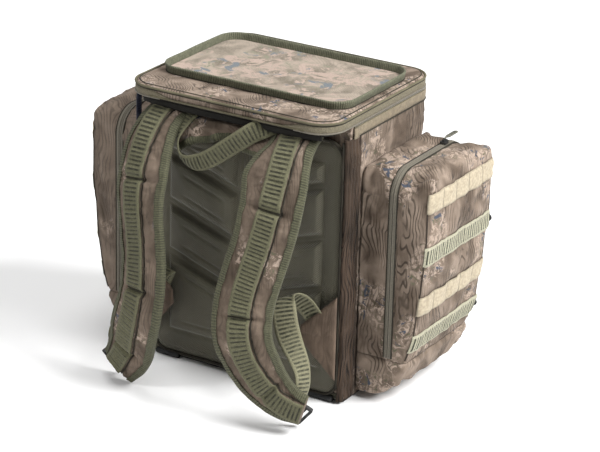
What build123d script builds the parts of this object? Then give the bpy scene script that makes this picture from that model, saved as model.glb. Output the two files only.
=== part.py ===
"""Tackle backpack: a padded box pack with a tray lid, three zipped pockets and a shoulder harness.

Millimetres. +Z is up and the harness faces -Y. The origin is on the floor under the middle of
the pack's overall box.
"""
import os
from math import cos, radians, sin

from build123d import *

os.makedirs("parts", exist_ok=True)

# driving dimensions
GAP = 0.3  # clearance between pieces that move apart
WALL = 3.0  # foam-backed fabric wall
BODY_W = 292.0
BODY_BACK = -56.0  # outer face of the back wall
BODY_FRONT = 148.0
BODY_R = 28.0  # front corners in plan
RIM_Z = 373.0  # top edge of the body
BASE_T = 3.0

LID_W = 300.0
LID_BACK = -112.0  # the lid overhangs the harness side
LID_FRONT = 146.0
LID_R = 34.0
LID_TOP = 389.0
LID_UNDER = RIM_Z + GAP + 0.3

TRAY_W = 273.0
TRAY_BACK = -60.0
TRAY_FRONT = 111.0
TRAY_R = 27.0
TRAY_TOP = 400.0
RIM_T = 4.0

PAD_FACE = -63.0  # face of the moulded back pad
PAD_LOW = 8.0
PAD_HIGH = 350.0
PAD_W = 278.0
RELIEF = 4.0  # how far the pad's pods stand proud
GUSSET_FRONT = -30.5  # front seam of the strips beside the back pad
EAVE_LOW = 368.0  # underside of the flange that carries the lid's hinge

WEB = 26.0  # sewn webbing rows on the pockets
WEB_T = 2.5
WRAP = 8.0  # how far each row wraps round the door's edges
STRAP_T = 14.0
STRAP_WEB = 28.0
HANDLE_WEB = 26.0

half = BODY_W / 2
body_mid = (BODY_BACK + BODY_FRONT) / 2
lid_mid = (LID_BACK + LID_FRONT) / 2
tray_mid = (TRAY_BACK + TRAY_FRONT) / 2


def save(piece, name):
    """Label a finished piece and write its STEP file."""
    piece.part.label = name
    export_step(piece.part, f"parts/{name}.step")


def body_outline(grow=0.0, back=BODY_BACK):
    """Plan outline of the body, grown outwards, with round front corners."""
    left, right, front = -half - grow, half + grow, BODY_FRONT + grow
    with BuildSketch(Plane.XY) as outline:
        with BuildLine():
            Polyline((left, back), (right, back), (right, front), (left, front), close=True)
        make_face()
        fillet(outline.vertices().group_by(Axis.Y)[-1], BODY_R + grow)
    return outline.sketch


def lid_outline(grow=0.0):
    """Plan outline of the lid, grown outwards."""
    with BuildSketch(Plane.XY) as outline:
        with Locations((0, lid_mid)):
            RectangleRounded(LID_W + 2 * grow, LID_FRONT - LID_BACK + 2 * grow, LID_R + grow)
    return outline.sketch


def box_between(low, high, mode=Mode.ADD):
    """A box from its lowest to its highest corner."""
    size = [b - a for a, b in zip(low, high)]
    with Locations(tuple((a + b) / 2 for a, b in zip(low, high))):
        Box(*size, mode=mode)


# ---------------------------------------------------------------- body shell
with BuildPart() as base_panel:
    with BuildSketch():
        add(body_outline())
    extrude(amount=BASE_T)
save(base_panel, "base_panel")

with BuildPart() as base_board:
    with BuildSketch(Plane.XY.offset(BASE_T)):
        add(body_outline(-WALL - 1, BODY_BACK + WALL + 1))
    extrude(amount=WALL)
save(base_board, "base_board")

with BuildPart() as back_wall:
    box_between((-half, BODY_BACK, BASE_T), (half, BODY_BACK + WALL, EAVE_LOW))
save(back_wall, "back_wall")

with BuildPart() as front_wall:
    with BuildSketch(Plane.XY.offset(BASE_T)):
        add(body_outline())
        add(body_outline(-WALL), mode=Mode.SUBTRACT)
    extrude(amount=RIM_Z - BASE_T)
    box_between((-200, -200, 0), (200, BODY_FRONT - BODY_R, 400), Mode.SUBTRACT)
save(front_wall, "front_wall")

for side, name in ((1, "right_wall"), (-1, "left_wall")):
    with BuildPart() as side_wall:
        inner, outer = sorted((side * (half - WALL), side * half))
        box_between((inner, BODY_BACK + WALL, BASE_T), (outer, BODY_FRONT - BODY_R, RIM_Z))
    save(side_wall, name)

# flange over the harness: it runs from the back wall out to the lid's hinge edge
with BuildPart() as eave_panel:
    with BuildSketch(Plane.XY.offset(EAVE_LOW)):
        add(lid_outline(-3))
    extrude(amount=RIM_Z - EAVE_LOW)
    box_between((-200, BODY_BACK + WALL, 0), (200, 200, 400), Mode.SUBTRACT)
    box_between((half - WALL, BODY_BACK - 8, 0), (200, 200, 400), Mode.SUBTRACT)
    box_between((-200, BODY_BACK - 8, 0), (WALL - half, 200, 400), Mode.SUBTRACT)
save(eave_panel, "eave_panel")

# tan edge binding under the lid, and the body's half of the lid zip above it
BIND_LOW, BIND_HIGH, BIND_BACK = 356.2, 370.0, -52.0
for name, low, high, thick in (("top_binding", BIND_LOW, BIND_HIGH, 1.6),
                               ("body_zip", BIND_HIGH + 0.2, RIM_Z, 2.6)):
    with BuildPart() as band:
        with BuildSketch(Plane.XY.offset(low)):
            add(body_outline(thick))
            add(body_outline(), mode=Mode.SUBTRACT)
        extrude(amount=high - low)
        box_between((-200, -200, 0), (200, BIND_BACK, 400), Mode.SUBTRACT)
    save(band, name)

# strips that carry the side seams beside the back pad
for side, name in ((1, "right_gusset"), (-1, "left_gusset")):
    with BuildPart() as gusset:
        with BuildSketch(Plane.XY.offset(BASE_T)):
            with BuildLine():
                Polyline((side * (PAD_W / 2 + 1), PAD_FACE), (side * (half - 2), PAD_FACE),
                         (side * (half + 2), PAD_FACE + 6), (side * (half + 2), GUSSET_FRONT),
                         (side * half, GUSSET_FRONT), (side * half, BODY_BACK),
                         (side * (PAD_W / 2 + 1), BODY_BACK), close=True)
            make_face()
        extrude(amount=EAVE_LOW - 12 - BASE_T)
    save(gusset, name)

# ---------------------------------------------------------------- back pad
POD_IN, POD_OUT = 12.0, 112.0
POD_LOW, POD_HIGH = 44.0, 318.0
CHANNEL, CHANNEL_RISE = 12.0, 34.0
pad_plane = Plane((0, PAD_FACE, 0), x_dir=(1, 0, 0), z_dir=(0, -1, 0))
with BuildPart() as back_pad:
    with BuildSketch(pad_plane):
        with Locations((0, (PAD_LOW + PAD_HIGH) / 2)):
            RectangleRounded(PAD_W, PAD_HIGH - PAD_LOW, 22)
    extrude(amount=PAD_FACE - BODY_BACK)
    with BuildSketch(pad_plane):
        for side in (1, -1):
            with Locations((side * (POD_IN + POD_OUT) / 2, (POD_LOW + POD_HIGH) / 2)):
                RectangleRounded(POD_OUT - POD_IN, POD_HIGH - POD_LOW, 18)
            for height in (112, 181, 250):
                with BuildLine():
                    Polyline((side * POD_IN, height), (side * POD_OUT, height + CHANNEL_RISE),
                             (side * POD_OUT, height + CHANNEL_RISE + CHANNEL),
                             (side * POD_IN, height + CHANNEL), close=True)
                make_face(mode=Mode.SUBTRACT)
    extrude(amount=RELIEF)
save(back_pad, "back_pad")

# ---------------------------------------------------------------- lid
with BuildPart() as lid_panel:
    with BuildSketch(Plane.XY.offset(LID_UNDER + 1.6)):
        add(lid_outline(-1.5))
    extrude(amount=LID_TOP - LID_UNDER - 1.6)
    fillet(lid_panel.edges().group_by(Axis.Z)[-1], 5)
save(lid_panel, "lid_panel")

with BuildPart() as lid_lining:
    with BuildSketch(Plane.XY.offset(LID_UNDER)):
        add(lid_outline(-5))
    extrude(amount=1.6)
save(lid_lining, "lid_lining")

ZIP_END = 100.0  # half the sewn hinge length; the zip runs round the rest
with BuildPart() as lid_zip:
    with BuildSketch(Plane.XY.offset(LID_UNDER)):
        add(lid_outline())
        add(lid_outline(-1.5), mode=Mode.SUBTRACT)
    extrude(amount=9)
    box_between((-ZIP_END, LID_BACK - 5, 0), (ZIP_END, LID_BACK + 5, 400), Mode.SUBTRACT)
save(lid_zip, "lid_zip")

with BuildPart() as lid_piping:
    with BuildSketch(Plane.XY.offset(LID_TOP - 6.2)):
        add(lid_outline(0.6))
        add(lid_outline(-1.5), mode=Mode.SUBTRACT)
    extrude(amount=3)
save(lid_piping, "lid_piping")

with BuildPart() as tray_floor:
    with BuildSketch(Plane.XY.offset(LID_TOP)):
        with Locations((0, tray_mid)):
            RectangleRounded(TRAY_W - 2 * RIM_T, TRAY_FRONT - TRAY_BACK - 2 * RIM_T, TRAY_R - RIM_T)
    extrude(amount=2)
save(tray_floor, "tray_floor")

with BuildPart() as tray_rim:
    with BuildSketch(Plane.XY.offset(LID_TOP)):
        with Locations((0, tray_mid)):
            RectangleRounded(TRAY_W, TRAY_FRONT - TRAY_BACK, TRAY_R)
            RectangleRounded(TRAY_W - 2 * RIM_T, TRAY_FRONT - TRAY_BACK - 2 * RIM_T, TRAY_R - RIM_T,
                             mode=Mode.SUBTRACT)
    extrude(amount=TRAY_TOP - LID_TOP)
    fillet(tray_rim.edges().group_by(Axis.Z)[-1], 1.5)
save(tray_rim, "tray_rim")


# ---------------------------------------------------------------- zipped pockets
class Pocket:
    """A boxy pocket on one wall: a back half, a door that folds down, and a fixed toe."""

    def __init__(self, name, origin, outward, width, top, seam, split, profile):
        self.name = name
        up = Vector(0, 0, 1)
        across = up.cross(Vector(outward))
        self.wall = Plane(origin, x_dir=across, z_dir=outward)
        self.side = Plane(origin, x_dir=outward, z_dir=-across)
        self.plan = Plane(origin, x_dir=across, z_dir=(0, 0, 1))
        self.width, self.top, self.seam, self.split = width, top, seam, split
        self.profile = profile  # outward distance and height of the door's outer face, upwards
        self.depth = max(reach for reach, height in profile)

    def block(self, inset, near, far, low, corner=25.0):
        """The pocket's volume between two distances from the wall, drawn in by inset."""
        wide = self.width - 2 * inset
        tall = self.top - inset - low
        reach = [(distance - inset, height) for distance, height in self.profile]
        with BuildPart() as volume:
            with BuildSketch(self.wall.offset(near)):
                with Locations((0, low + tall / 2)):
                    Rectangle(wide, tall)
                fillet(vertices().group_by(Axis.Y)[-1], corner - inset)
            extrude(amount=far - near)
            with BuildSketch(self.side):
                with BuildLine():
                    Polyline((-5, -5), (reach[0][0], -5), *reach, (reach[-1][0], 500), (-5, 500),
                             close=True)
                make_face()
            extrude(amount=self.width, both=True, mode=Mode.INTERSECT)
            with BuildSketch(self.plan):
                with Locations((0, (self.depth - inset) / 2 - 50)):
                    RectangleRounded(wide, self.depth - inset + 100, 14 - min(inset, 8))
            extrude(amount=500, mode=Mode.INTERSECT)
        return volume.part

    def back_half(self):
        with BuildPart() as piece:
            add(self.block(0, 0, self.split - GAP, self.seam + GAP))
            add(self.block(WALL, WALL, self.split + 5, self.seam + GAP + WALL), mode=Mode.SUBTRACT)
        save(piece, f"{self.name}_pocket_back")

    def door(self):
        with BuildPart() as piece:
            add(self.block(0, self.split, self.depth, self.seam + GAP))
            add(self.block(WALL, self.split - 5, self.depth, self.seam + GAP + WALL),
                mode=Mode.SUBTRACT)
        save(piece, f"{self.name}_pocket_door")

    def zip_bands(self):
        """Zip tape along the split, half on each side of it, down to just above the seam."""
        edge, width = 1.2, 6.0
        for near, far, name in ((self.split - width, self.split - GAP, "pocket_zip"),
                                (self.split, self.split + width, "door_zip")):
            with BuildPart() as piece:
                add(self.block(-edge, near, far, self.seam + 4))
                add(self.block(0, near - 1, far + 1, self.seam), mode=Mode.SUBTRACT)
            save(piece, f"{self.name}_{name}")

    def reach_at(self, height):
        """How far out the door's outer face is at a height."""
        for (near, low), (far, high) in zip(self.profile, self.profile[1:]):
            if low <= height <= high:
                return near + (far - near) * (height - low) / (high - low)

    def webbing(self, rows, name):
        """Sewn rows across the door, wrapped a little round its edges."""
        with BuildPart() as piece:
            for low in rows:
                with BuildPart(mode=Mode.PRIVATE) as row:
                    add(self.block(-WEB_T, self.reach_at(low) - WRAP, self.depth + WEB_T, low))
                    add(self.block(0, self.split, self.depth, low - 5), mode=Mode.SUBTRACT)
                    with BuildSketch(self.plan.offset(low + WEB)):
                        Rectangle(900, 900)
                    extrude(amount=400, mode=Mode.SUBTRACT)
                add(row.part)
        save(piece, f"{self.name}_{name}")


SIDE_PROFILE = [(73, 62), (84, 98), (92, 165), (97, 230), (97, 290), (90, 304)]
FRONT_PROFILE = [(47, 52), (52, 90), (53.7, 130), (53.7, 234), (47, 246)]
pockets = [
    Pocket("right", (half, 54.5, 0), (1, 0, 0), 169.0, 313.0, 62.0, 48.0, SIDE_PROFILE),
    Pocket("left", (-half, 54.5, 0), (-1, 0, 0), 169.0, 313.0, 62.0, 48.0, SIDE_PROFILE),
    Pocket("front", (0, BODY_FRONT, 0), (0, 1, 0), 210.0, 252.0, 52.0, 22.0, FRONT_PROFILE),
]
for pocket in pockets:
    pocket.back_half()
    pocket.door()
    pocket.zip_bands()
for pocket in pockets[:2]:
    pocket.webbing((269.0, 131.0), "tan_webbing")
    pocket.webbing((199.0, 78.0), "green_webbing")
pockets[2].webbing((200.0, 145.0, 90.0), "webbing")

# tapered toes under the side pockets' fold seam, and a plain one under the front pocket
TOE_LOW = 10.0
for pocket, lower_reach in zip(pockets, (40.0, 40.0, 30.0)):
    upper_reach = pocket.profile[0][0]
    with BuildPart() as toe:
        with BuildSketch(pocket.side):
            with BuildLine():
                Polyline((0, TOE_LOW), (lower_reach, TOE_LOW + 3),
                         ((lower_reach + upper_reach) / 2 + 5, TOE_LOW + 22),
                         (upper_reach, pocket.seam - 6), (upper_reach, pocket.seam),
                         (0, pocket.seam), close=True)
            make_face()
        extrude(amount=pocket.width / 2 - 2, both=True)
    save(toe, f"{pocket.name}_pocket_toe")


# ---------------------------------------------------------------- zip sliders and pullers
def slider_and_puller(name, plane, puller_length, puller_width):
    """A slider on plane (x along the zip, z outwards) with a flat puller lying along +x."""
    with BuildPart() as slider:
        with BuildSketch(plane):
            RectangleRounded(11, 8, 2)
        extrude(amount=3)
        with BuildSketch(plane.offset(3)):
            Rectangle(7, 2.4)
        extrude(amount=2.2)
    save(slider, f"{name}_slider")
    with BuildPart() as puller:
        with BuildSketch(plane.offset(6)):
            with Locations((puller_length / 2 - 1, 0)):
                RectangleRounded(puller_length, puller_width, 2.5)
        extrude(amount=1.6)
    save(puller, f"{name}_puller")


SLIDER_LIFT = 2.2
for pocket, place, length in zip(pockets, (42.0, -42.0, 60.0), (34.0, 34.0, 30.0)):
    along = 1 if place > 0 else -1
    origin = pocket.wall.origin + pocket.wall.x_dir * place
    origin += pocket.wall.z_dir * (pocket.split - GAP / 2) + Vector(0, 0, pocket.top + SLIDER_LIFT)
    slider_and_puller(f"{pocket.name}_pocket",
                      Plane(origin, x_dir=pocket.wall.x_dir * along, z_dir=(0, 0, 1)), length, 7)

# the lid's slider sits at the harness-side left corner, and its tape puller hangs down
LID_SLIDER_Y = -72.0
lid_slide_plane = Plane((-LID_W / 2 - 0.4, LID_SLIDER_Y, RIM_Z), x_dir=(0, -1, 0), z_dir=(-1, 0, 0))
with BuildPart() as lid_slider:
    with BuildSketch(lid_slide_plane):
        RectangleRounded(12, 9, 2)
    extrude(amount=3)
    with BuildSketch(lid_slide_plane.offset(3)):
        Rectangle(8, 2.4)
    extrude(amount=1.7)
save(lid_slider, "lid_slider")
with BuildPart() as lid_puller:
    with BuildSketch(lid_slide_plane.offset(5.4)):
        with Locations((0, -28)):
            RectangleRounded(12, 58, 2)
    extrude(amount=1.5)
save(lid_puller, "lid_puller")


# ---------------------------------------------------------------- harness
def band_planes(stations, lift=0.0):
    """Section planes of a band that follows hand-placed stations.

    A station is the band's centre, its width there, and the turn of its flat about Z."""
    centres = [Vector(*place) for place, wide, turn in stations]
    with BuildLine(mode=Mode.PRIVATE) as line:
        path = Spline(*centres)
    planes = []
    for centre, (place, wide, turn) in zip(centres, stations):
        tangent = path.tangent_at(path.param_at_point(centre))
        hint = Vector(cos(radians(turn)), sin(radians(turn)), 0)
        across = (hint - tangent * hint.dot(tangent)).normalized()
        normal = tangent.cross(across)
        planes.append(Plane(centre + normal * lift, x_dir=across, z_dir=tangent))
    return planes


def band(stations, thick, lift=0.0, width=None):
    """A flat band lofted through its stations, raised off them by lift."""
    with BuildPart() as piece:
        for plane, station in zip(band_planes(stations, lift), stations):
            with BuildSketch(plane):
                Rectangle(width or station[1], thick)
        loft()
    return piece


def mirrored(stations):
    return [((-x, y, z), wide, -turn) for (x, y, z), wide, turn in stations]


# shoulder strap on the right: centre, width, turn about Z
STRAP = [((86, -80, 357.5), 62, 0), ((91, -96, 356), 60, 2), ((95, -119, 343), 62, 5),
         ((97, -140, 315), 72, 9), ((96, -156, 280), 76, 12), ((87, -168, 230), 77, 15),
         ((78, -176, 190), 77, 15), ((74, -184, 150), 77, 15), ((79, -187, 118), 77, 14),
         ((91, -180, 88), 74, 13), ((101, -171, 64), 68, 12), ((113, -164, 46), 58, 12),
         ((126, -158, 33), 46, 12)]
# ladder-lock buckle on the strap's end: its centre, then a point further along its length
BUCKLE_AT, BUCKLE_TO = (138, -152, 25.0), (146, -148, 19)
# adjuster webbing from the wing tab, over a slack fold, down to the buckle: a curve in one
# upright plane, as distance along the floor and height
ADJUSTER_FROM, ADJUSTER_TO = (99, -88.5), (135, -142)
ADJUSTER = [(0, 98), (10, 124), (22, 144), (33, 150), (42, 140), (50, 112), (58, 76), (64, 50),
            (66.5, 40)]
ADJUSTER_WEB = 25.0
WING = [(0, 150), (46, 106), (48, 88), (0, 34)]  # distance in from the side seam, height
WING_T = 4.0

for side, name in ((1, "right"), (-1, "left")):
    strap = STRAP if side > 0 else mirrored(STRAP)
    save(band(strap, STRAP_T), f"{name}_strap_pad")
    save(band(strap[1:], 2.4, STRAP_T / 2 + 2.2, STRAP_WEB), f"{name}_strap_webbing")

    start, end = [Vector(side * x, y) for x, y in (ADJUSTER_FROM, ADJUSTER_TO)]
    run = (end - start).normalized()
    with BuildPart() as adjuster:
        with BuildSketch(Plane(start, x_dir=run, z_dir=run.cross(Vector(0, 0, 1)))):
            with BuildLine():
                Spline(*ADJUSTER)
            trace(line_width=1.8)
        extrude(amount=ADJUSTER_WEB / 2, both=True)
    save(adjuster, f"{name}_adjuster")

    wing_plane = Plane((side * (PAD_W / 2 + 2), PAD_FACE - 6, 0), x_dir=(-side, -0.3, 0),
                       z_dir=(-0.3 * side, 1, 0))
    if side < 0:
        wing_plane = Plane(wing_plane.origin, x_dir=(1, -0.3, 0), z_dir=(-0.3, -1, 0))
    with BuildPart() as wing:
        with BuildSketch(wing_plane):
            with BuildLine():
                Polyline(*[(reach, height * (-1 if wing_plane.y_dir.Z < 0 else 1))
                           for reach, height in WING], close=True)
            make_face()
        extrude(amount=WING_T / 2, both=True)
    save(wing, f"{name}_wing_tab")

    at, to = [Vector(side * x, y, z) for x, y, z in (BUCKLE_AT, BUCKLE_TO)]
    along = (to - at).normalized()
    hint = Vector(1, 0.2 * side, 0)
    across = (hint - along * hint.dot(along)).normalized()
    with BuildPart() as buckle:
        with BuildSketch(Plane(at, x_dir=across, z_dir=along.cross(across))):
            RectangleRounded(36, 26, 3)
            with Locations((0, 8), (0, 0), (0, -8)):
                Rectangle(28, 4.4, mode=Mode.SUBTRACT)
        extrude(amount=2, both=True)
    save(buckle, f"{name}_ladder_lock")

# yoke: a root strip behind the straps' ends and a padded tongue between them
YOKE_LOW, YOKE_HIGH = 351.0, 364.0
with BuildPart() as yoke_panel:
    box_between((-122, -65, YOKE_LOW), (122, BODY_BACK, YOKE_HIGH))
    box_between((-50, -101, YOKE_LOW), (50, -65, YOKE_HIGH))
    box_between((-50, -101, 338), (50, -90, YOKE_LOW))
save(yoke_panel, "yoke_panel")

# grab handle: a loop of webbing that turns half over between its sewn ends
HANDLE = [((-44, -106.5, 363), 26, 0), ((-45, -115, 350), 26, -10), ((-40, -137, 337), 26, -45),
          ((-16, -156, 329), 26, -82), ((16, -156, 329), 26, -98), ((40, -137, 337), 26, -135),
          ((45, -115, 350), 26, -170), ((44, -106.5, 363), 26, -180)]
save(band(HANDLE, 2.6), "grab_handle")
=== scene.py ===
"""Tackle backpack: the finished fabric, webbing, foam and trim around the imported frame.

Lengths are millimetres in the frame's own axes, and add_mesh turns them into metres.
"""

import bmesh
import bpy
import numpy as np
from math import cos, pi, radians, sin
from mathutils import Matrix, Vector
from mathutils.bvhtree import BVHTree


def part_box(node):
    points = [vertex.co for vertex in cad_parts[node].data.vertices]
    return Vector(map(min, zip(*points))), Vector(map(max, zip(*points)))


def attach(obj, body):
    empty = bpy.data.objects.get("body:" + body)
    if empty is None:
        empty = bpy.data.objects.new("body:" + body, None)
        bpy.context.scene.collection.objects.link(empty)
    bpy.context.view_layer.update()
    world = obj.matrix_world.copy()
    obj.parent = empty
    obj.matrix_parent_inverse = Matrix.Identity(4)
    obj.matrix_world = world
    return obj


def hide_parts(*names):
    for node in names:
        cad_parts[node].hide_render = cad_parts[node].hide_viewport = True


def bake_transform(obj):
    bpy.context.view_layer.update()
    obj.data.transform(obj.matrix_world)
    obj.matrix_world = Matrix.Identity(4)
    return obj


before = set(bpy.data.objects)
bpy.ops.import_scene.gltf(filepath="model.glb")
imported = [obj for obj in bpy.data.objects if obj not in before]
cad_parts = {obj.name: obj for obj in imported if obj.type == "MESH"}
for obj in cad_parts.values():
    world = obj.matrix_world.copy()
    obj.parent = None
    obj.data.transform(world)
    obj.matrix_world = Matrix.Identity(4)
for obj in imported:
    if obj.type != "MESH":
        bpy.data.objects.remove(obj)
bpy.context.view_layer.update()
MM = 0.001
UP = np.array([0.0, 0.0, 1.0])
SIDES = ((1, "right"), (-1, "left"))


def node_box(node):
    """The lowest and highest corner of a CAD node, in millimetres."""
    return [np.array(corner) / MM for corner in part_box(node)]


# ---------------------------------------------------------------- numbers and curves
# large odd numbers that scatter a lattice cell's place, and the seed, over a 32-bit word
SCATTER_PLACE = (73856093, 19349663, 83492791)
SCATTER_SEED = 2654435761
SCATTER_AGAIN = ((15, 2246822519), (13, 3266489917))
WORD = 0xFFFFFFFF


def noise(points, size, seed=0):
    """Smooth lattice noise from -1 to 1, with cells of the given size."""
    place = np.asarray(points, float) / size + 500.0
    cell = np.floor(place).astype(np.int64)
    part = place - cell
    part = part * part * (3 - 2 * part)
    total = np.zeros(place.shape[:-1])
    for corner in np.ndindex(2, 2, 2):
        x, y, z = np.moveaxis((cell + corner) * SCATTER_PLACE, -1, 0)
        hashed = (x ^ y ^ z ^ (seed * SCATTER_SEED)) & WORD
        for shift, factor in SCATTER_AGAIN:
            hashed = ((hashed ^ (hashed >> shift)) * factor) & WORD
        value = ((hashed >> 8) & 0xFFFF) / 32767.5 - 1
        weight = np.prod(np.where(np.array(corner) == 1, part, 1 - part), axis=-1)
        total += value * weight
    return total


def ridges(points, size, seed=0):
    """Fold-like noise from 0 to 1 with soft crests."""
    return 1 - np.abs(noise(points, size, seed))


def step_between(low, high, value):
    """0 below low, 1 above high, smooth between them."""
    t = np.clip((np.asarray(value, float) - low) / (high - low), 0, 1)
    return t * t * (3 - 2 * t)


def near(values, spot, reach):
    """A soft bump of height 1 round a spot."""
    return np.exp(-((values - spot) / reach) ** 2)


def unit(vectors):
    vectors = np.asarray(vectors, float)
    return vectors / np.maximum(np.linalg.norm(vectors, axis=-1, keepdims=True), 1e-9)


def cubic(knots, values, queries):
    """A natural cubic spline through values at knots, read at queries."""
    knots, values = np.asarray(knots, float), np.asarray(values, float)
    count, gap = len(knots), np.diff(knots)
    system, right = np.eye(count), np.zeros((count,) + values.shape[1:])
    for i in range(1, count - 1):
        system[i, i - 1:i + 2] = gap[i - 1], 2 * (gap[i - 1] + gap[i]), gap[i]
        right[i] = 6 * ((values[i + 1] - values[i]) / gap[i] - (values[i] - values[i - 1]) / gap[i - 1])
    bend = np.linalg.solve(system, right)
    i = np.clip(np.searchsorted(knots, queries) - 1, 0, count - 2)
    wide = (slice(None),) + (None,) * (values.ndim - 1)
    h, a, b = gap[i][wide], (knots[i + 1] - queries)[wide], (queries - knots[i])[wide]
    return ((bend[i] * a ** 3 + bend[i + 1] * b ** 3) / (6 * h)
            + (values[i] / h - bend[i] * h / 6) * a + (values[i + 1] / h - bend[i + 1] * h / 6) * b)


def lengths(path):
    """Distance along a path at each of its points."""
    return np.concatenate([[0], np.cumsum(np.linalg.norm(np.diff(path, axis=0), axis=1))])


def smooth_path(points, step):
    """A smooth curve through given points, sampled about every step."""
    points = np.asarray(points, float)
    knots = lengths(points)
    fine = cubic(knots, points, np.linspace(0, knots[-1], 40 * len(points)))
    run = lengths(fine)
    even = np.linspace(0, run[-1], max(4, int(run[-1] / step) + 1))
    return np.stack([np.interp(even, run, fine[:, i]) for i in range(fine.shape[1])], axis=1)


def tangents(path, closed=False):
    if closed:
        return unit(np.roll(path, -1, 0) - np.roll(path, 1, 0))
    return unit(np.gradient(path, axis=0))


def rounded_loop(low, high, radii, counts=(60, 50, 9)):
    """A closed plan loop, anticlockwise from its low corner: points and outward normals in x, y.

    The radii start at the low corner and go round with the points, and the counts are for the
    sides along x, the sides along y and each corner."""
    (x0, y0), (x1, y1) = low, high
    across, deep, bend = counts
    corners = [(x0, y0, 180), (x1, y0, 270), (x1, y1, 0), (x0, y1, 90)]
    arcs = []
    for (x, y, start), radius in zip(corners, radii):
        cx, cy = x + radius * (1 if x == x0 else -1), y + radius * (1 if y == y0 else -1)
        angle = np.radians(start + np.linspace(0, 90, bend + 2))
        turn = np.stack([np.cos(angle), np.sin(angle)], 1)
        arcs.append((np.array([cx, cy]) + radius * turn, turn))
    points, normals = [], []
    for i, number in enumerate((across, deep, across, deep)):
        arc, turn = arcs[i]
        after = arcs[(i + 1) % 4][0][0]
        t = np.linspace(0, 1, number + 2)[1:-1, None]
        points += [arc, arc[-1] + (after - arc[-1]) * t]
        normals += [turn, np.repeat(turn[-1:], number, 0)]
    return np.concatenate(points), np.concatenate(normals)


def level_loop(low, high, radii, grow, z, counts):
    """A rounded loop of the frame's plan, grown outwards, at one height: points and normals."""
    points, normals = rounded_loop(low - grow, high + grow, radii, counts)
    flat = np.zeros(len(points))
    return np.column_stack([points, flat + z]), np.column_stack([normals, flat])


# ---------------------------------------------------------------- meshes
def add_mesh(name, points, faces, material, uv=None):
    """A mesh object from points in millimetres, with an optional pattern coordinate per point."""
    mesh = bpy.data.meshes.new(name)
    mesh.from_pydata((np.asarray(points, float).reshape(-1, 3) * MM).tolist(), [], faces)
    if uv is not None:
        loops = np.zeros(len(mesh.loops), np.int32)
        mesh.loops.foreach_get("vertex_index", loops)
        layer = mesh.uv_layers.new(name="pattern")
        layer.data.foreach_set("uv", np.asarray(uv, np.float32).reshape(-1, 2)[loops].ravel())
    obj = bpy.data.objects.new(name, mesh)
    bpy.context.scene.collection.objects.link(obj)
    for paint in material if isinstance(material, (list, tuple)) else [material]:
        mesh.materials.append(paint)
    mesh.polygons.foreach_set("use_smooth", [True] * len(mesh.polygons))
    mesh.update()
    return obj


def grid_faces(rows, columns, closed=False, start=0, flip=False):
    """Quads over rows by columns of points; closed joins the last column to the first."""
    faces = []
    for i in range(rows - 1):
        for j in range(columns - (0 if closed else 1)):
            k = (j + 1) % columns
            quad = (start + i * columns + j, start + i * columns + k,
                    start + (i + 1) * columns + k, start + (i + 1) * columns + j)
            faces.append(quad[::-1] if flip else quad)
    return faces


def fix_normals(obj):
    work = bmesh.new()
    work.from_mesh(obj.data)
    bmesh.ops.recalc_face_normals(work, faces=work.faces)
    work.to_mesh(obj.data)
    work.free()
    return obj


def end_caps(rows, columns):
    """The first and the last loop of a stack, as faces."""
    return [tuple(range(columns))[::-1], tuple(range((rows - 1) * columns, rows * columns))]


def loft(name, loops, material):
    """A closed skin through a stack of closed loops with the same number of points."""
    loops = np.asarray(loops, float)
    rows, columns = loops.shape[:2]
    faces = grid_faces(rows, columns, closed=True) + end_caps(rows, columns)
    return fix_normals(add_mesh(name, loops.reshape(-1, 3), faces, material))


def pattern(along, across):
    """Pattern coordinates for a grid: metres along its rows, and a share across its columns."""
    shape = (len(along), np.shape(across)[-1])
    return np.stack([np.broadcast_to(along[:, None] * MM, shape), np.broadcast_to(across, shape)], -1)


def sheet_mesh(name, top, under, material, uv=None, closed=False):
    """A thin closed piece between two grids of points, one over the other."""
    rows, columns = top.shape[:2]
    half_count = rows * columns
    faces = grid_faces(rows, columns, closed) + grid_faces(rows, columns, closed, half_count, True)
    ends = range(columns - (0 if closed else 1))
    for i, turned in ((0, True), (rows - 1, False)):
        for j in ends:
            a, b = i * columns + j, i * columns + (j + 1) % columns
            quad = (a, b, b + half_count, a + half_count)
            faces.append(quad if turned else quad[::-1])
    if not closed:
        for i in range(rows - 1):
            for j, turned in ((0, False), (columns - 1, True)):
                a, b = i * columns + j, (i + 1) * columns + j
                quad = (a, b, b + half_count, a + half_count)
                faces.append(quad if turned else quad[::-1])
    points = np.concatenate([top.reshape(-1, 3), under.reshape(-1, 3)])
    if uv is not None:
        uv = np.concatenate([uv.reshape(-1, 2)] * 2)
    return fix_normals(add_mesh(name, points, faces, material, uv))


def sweep(name, path, across, normal, sections, material, closed=False):
    """A closed section carried along a path. Sections are (across, normal) offsets per point."""
    sections = np.asarray(sections, float)
    if sections.ndim == 2:
        sections = np.repeat(sections[None], len(path), 0)
    if closed:
        path, across, normal, sections = [np.concatenate([a, a[:1]])
                                          for a in (path, across, normal, sections)]
    points = path[:, None] + across[:, None] * sections[..., :1] + normal[:, None] * sections[..., 1:]
    rows, columns = points.shape[:2]
    faces = grid_faces(rows, columns, closed=True)
    if not closed:
        faces += end_caps(rows, columns)
    side = sections[..., 0] / np.maximum(np.abs(sections[..., 0]).max(1, keepdims=True), 1e-6)
    return fix_normals(add_mesh(name, points, faces, material, pattern(lengths(path), side)))


def tube_section(radius, sides=8, flat=1.0):
    angle = np.arange(sides) * 2 * pi / sides
    return np.stack([radius * np.cos(angle), radius * flat * np.sin(angle)], 1)


def piping(name, path, radius, material, closed=False, hint=(0, 0, 1), sides=8, flat=1.0):
    """A round cord along a path."""
    along = tangents(path, closed)
    across = unit(np.cross(along, np.broadcast_to(hint, along.shape) + 1e-4))
    return sweep(name, path, across, np.cross(across, along), tube_section(radius, sides, flat),
                 material, closed)


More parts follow.
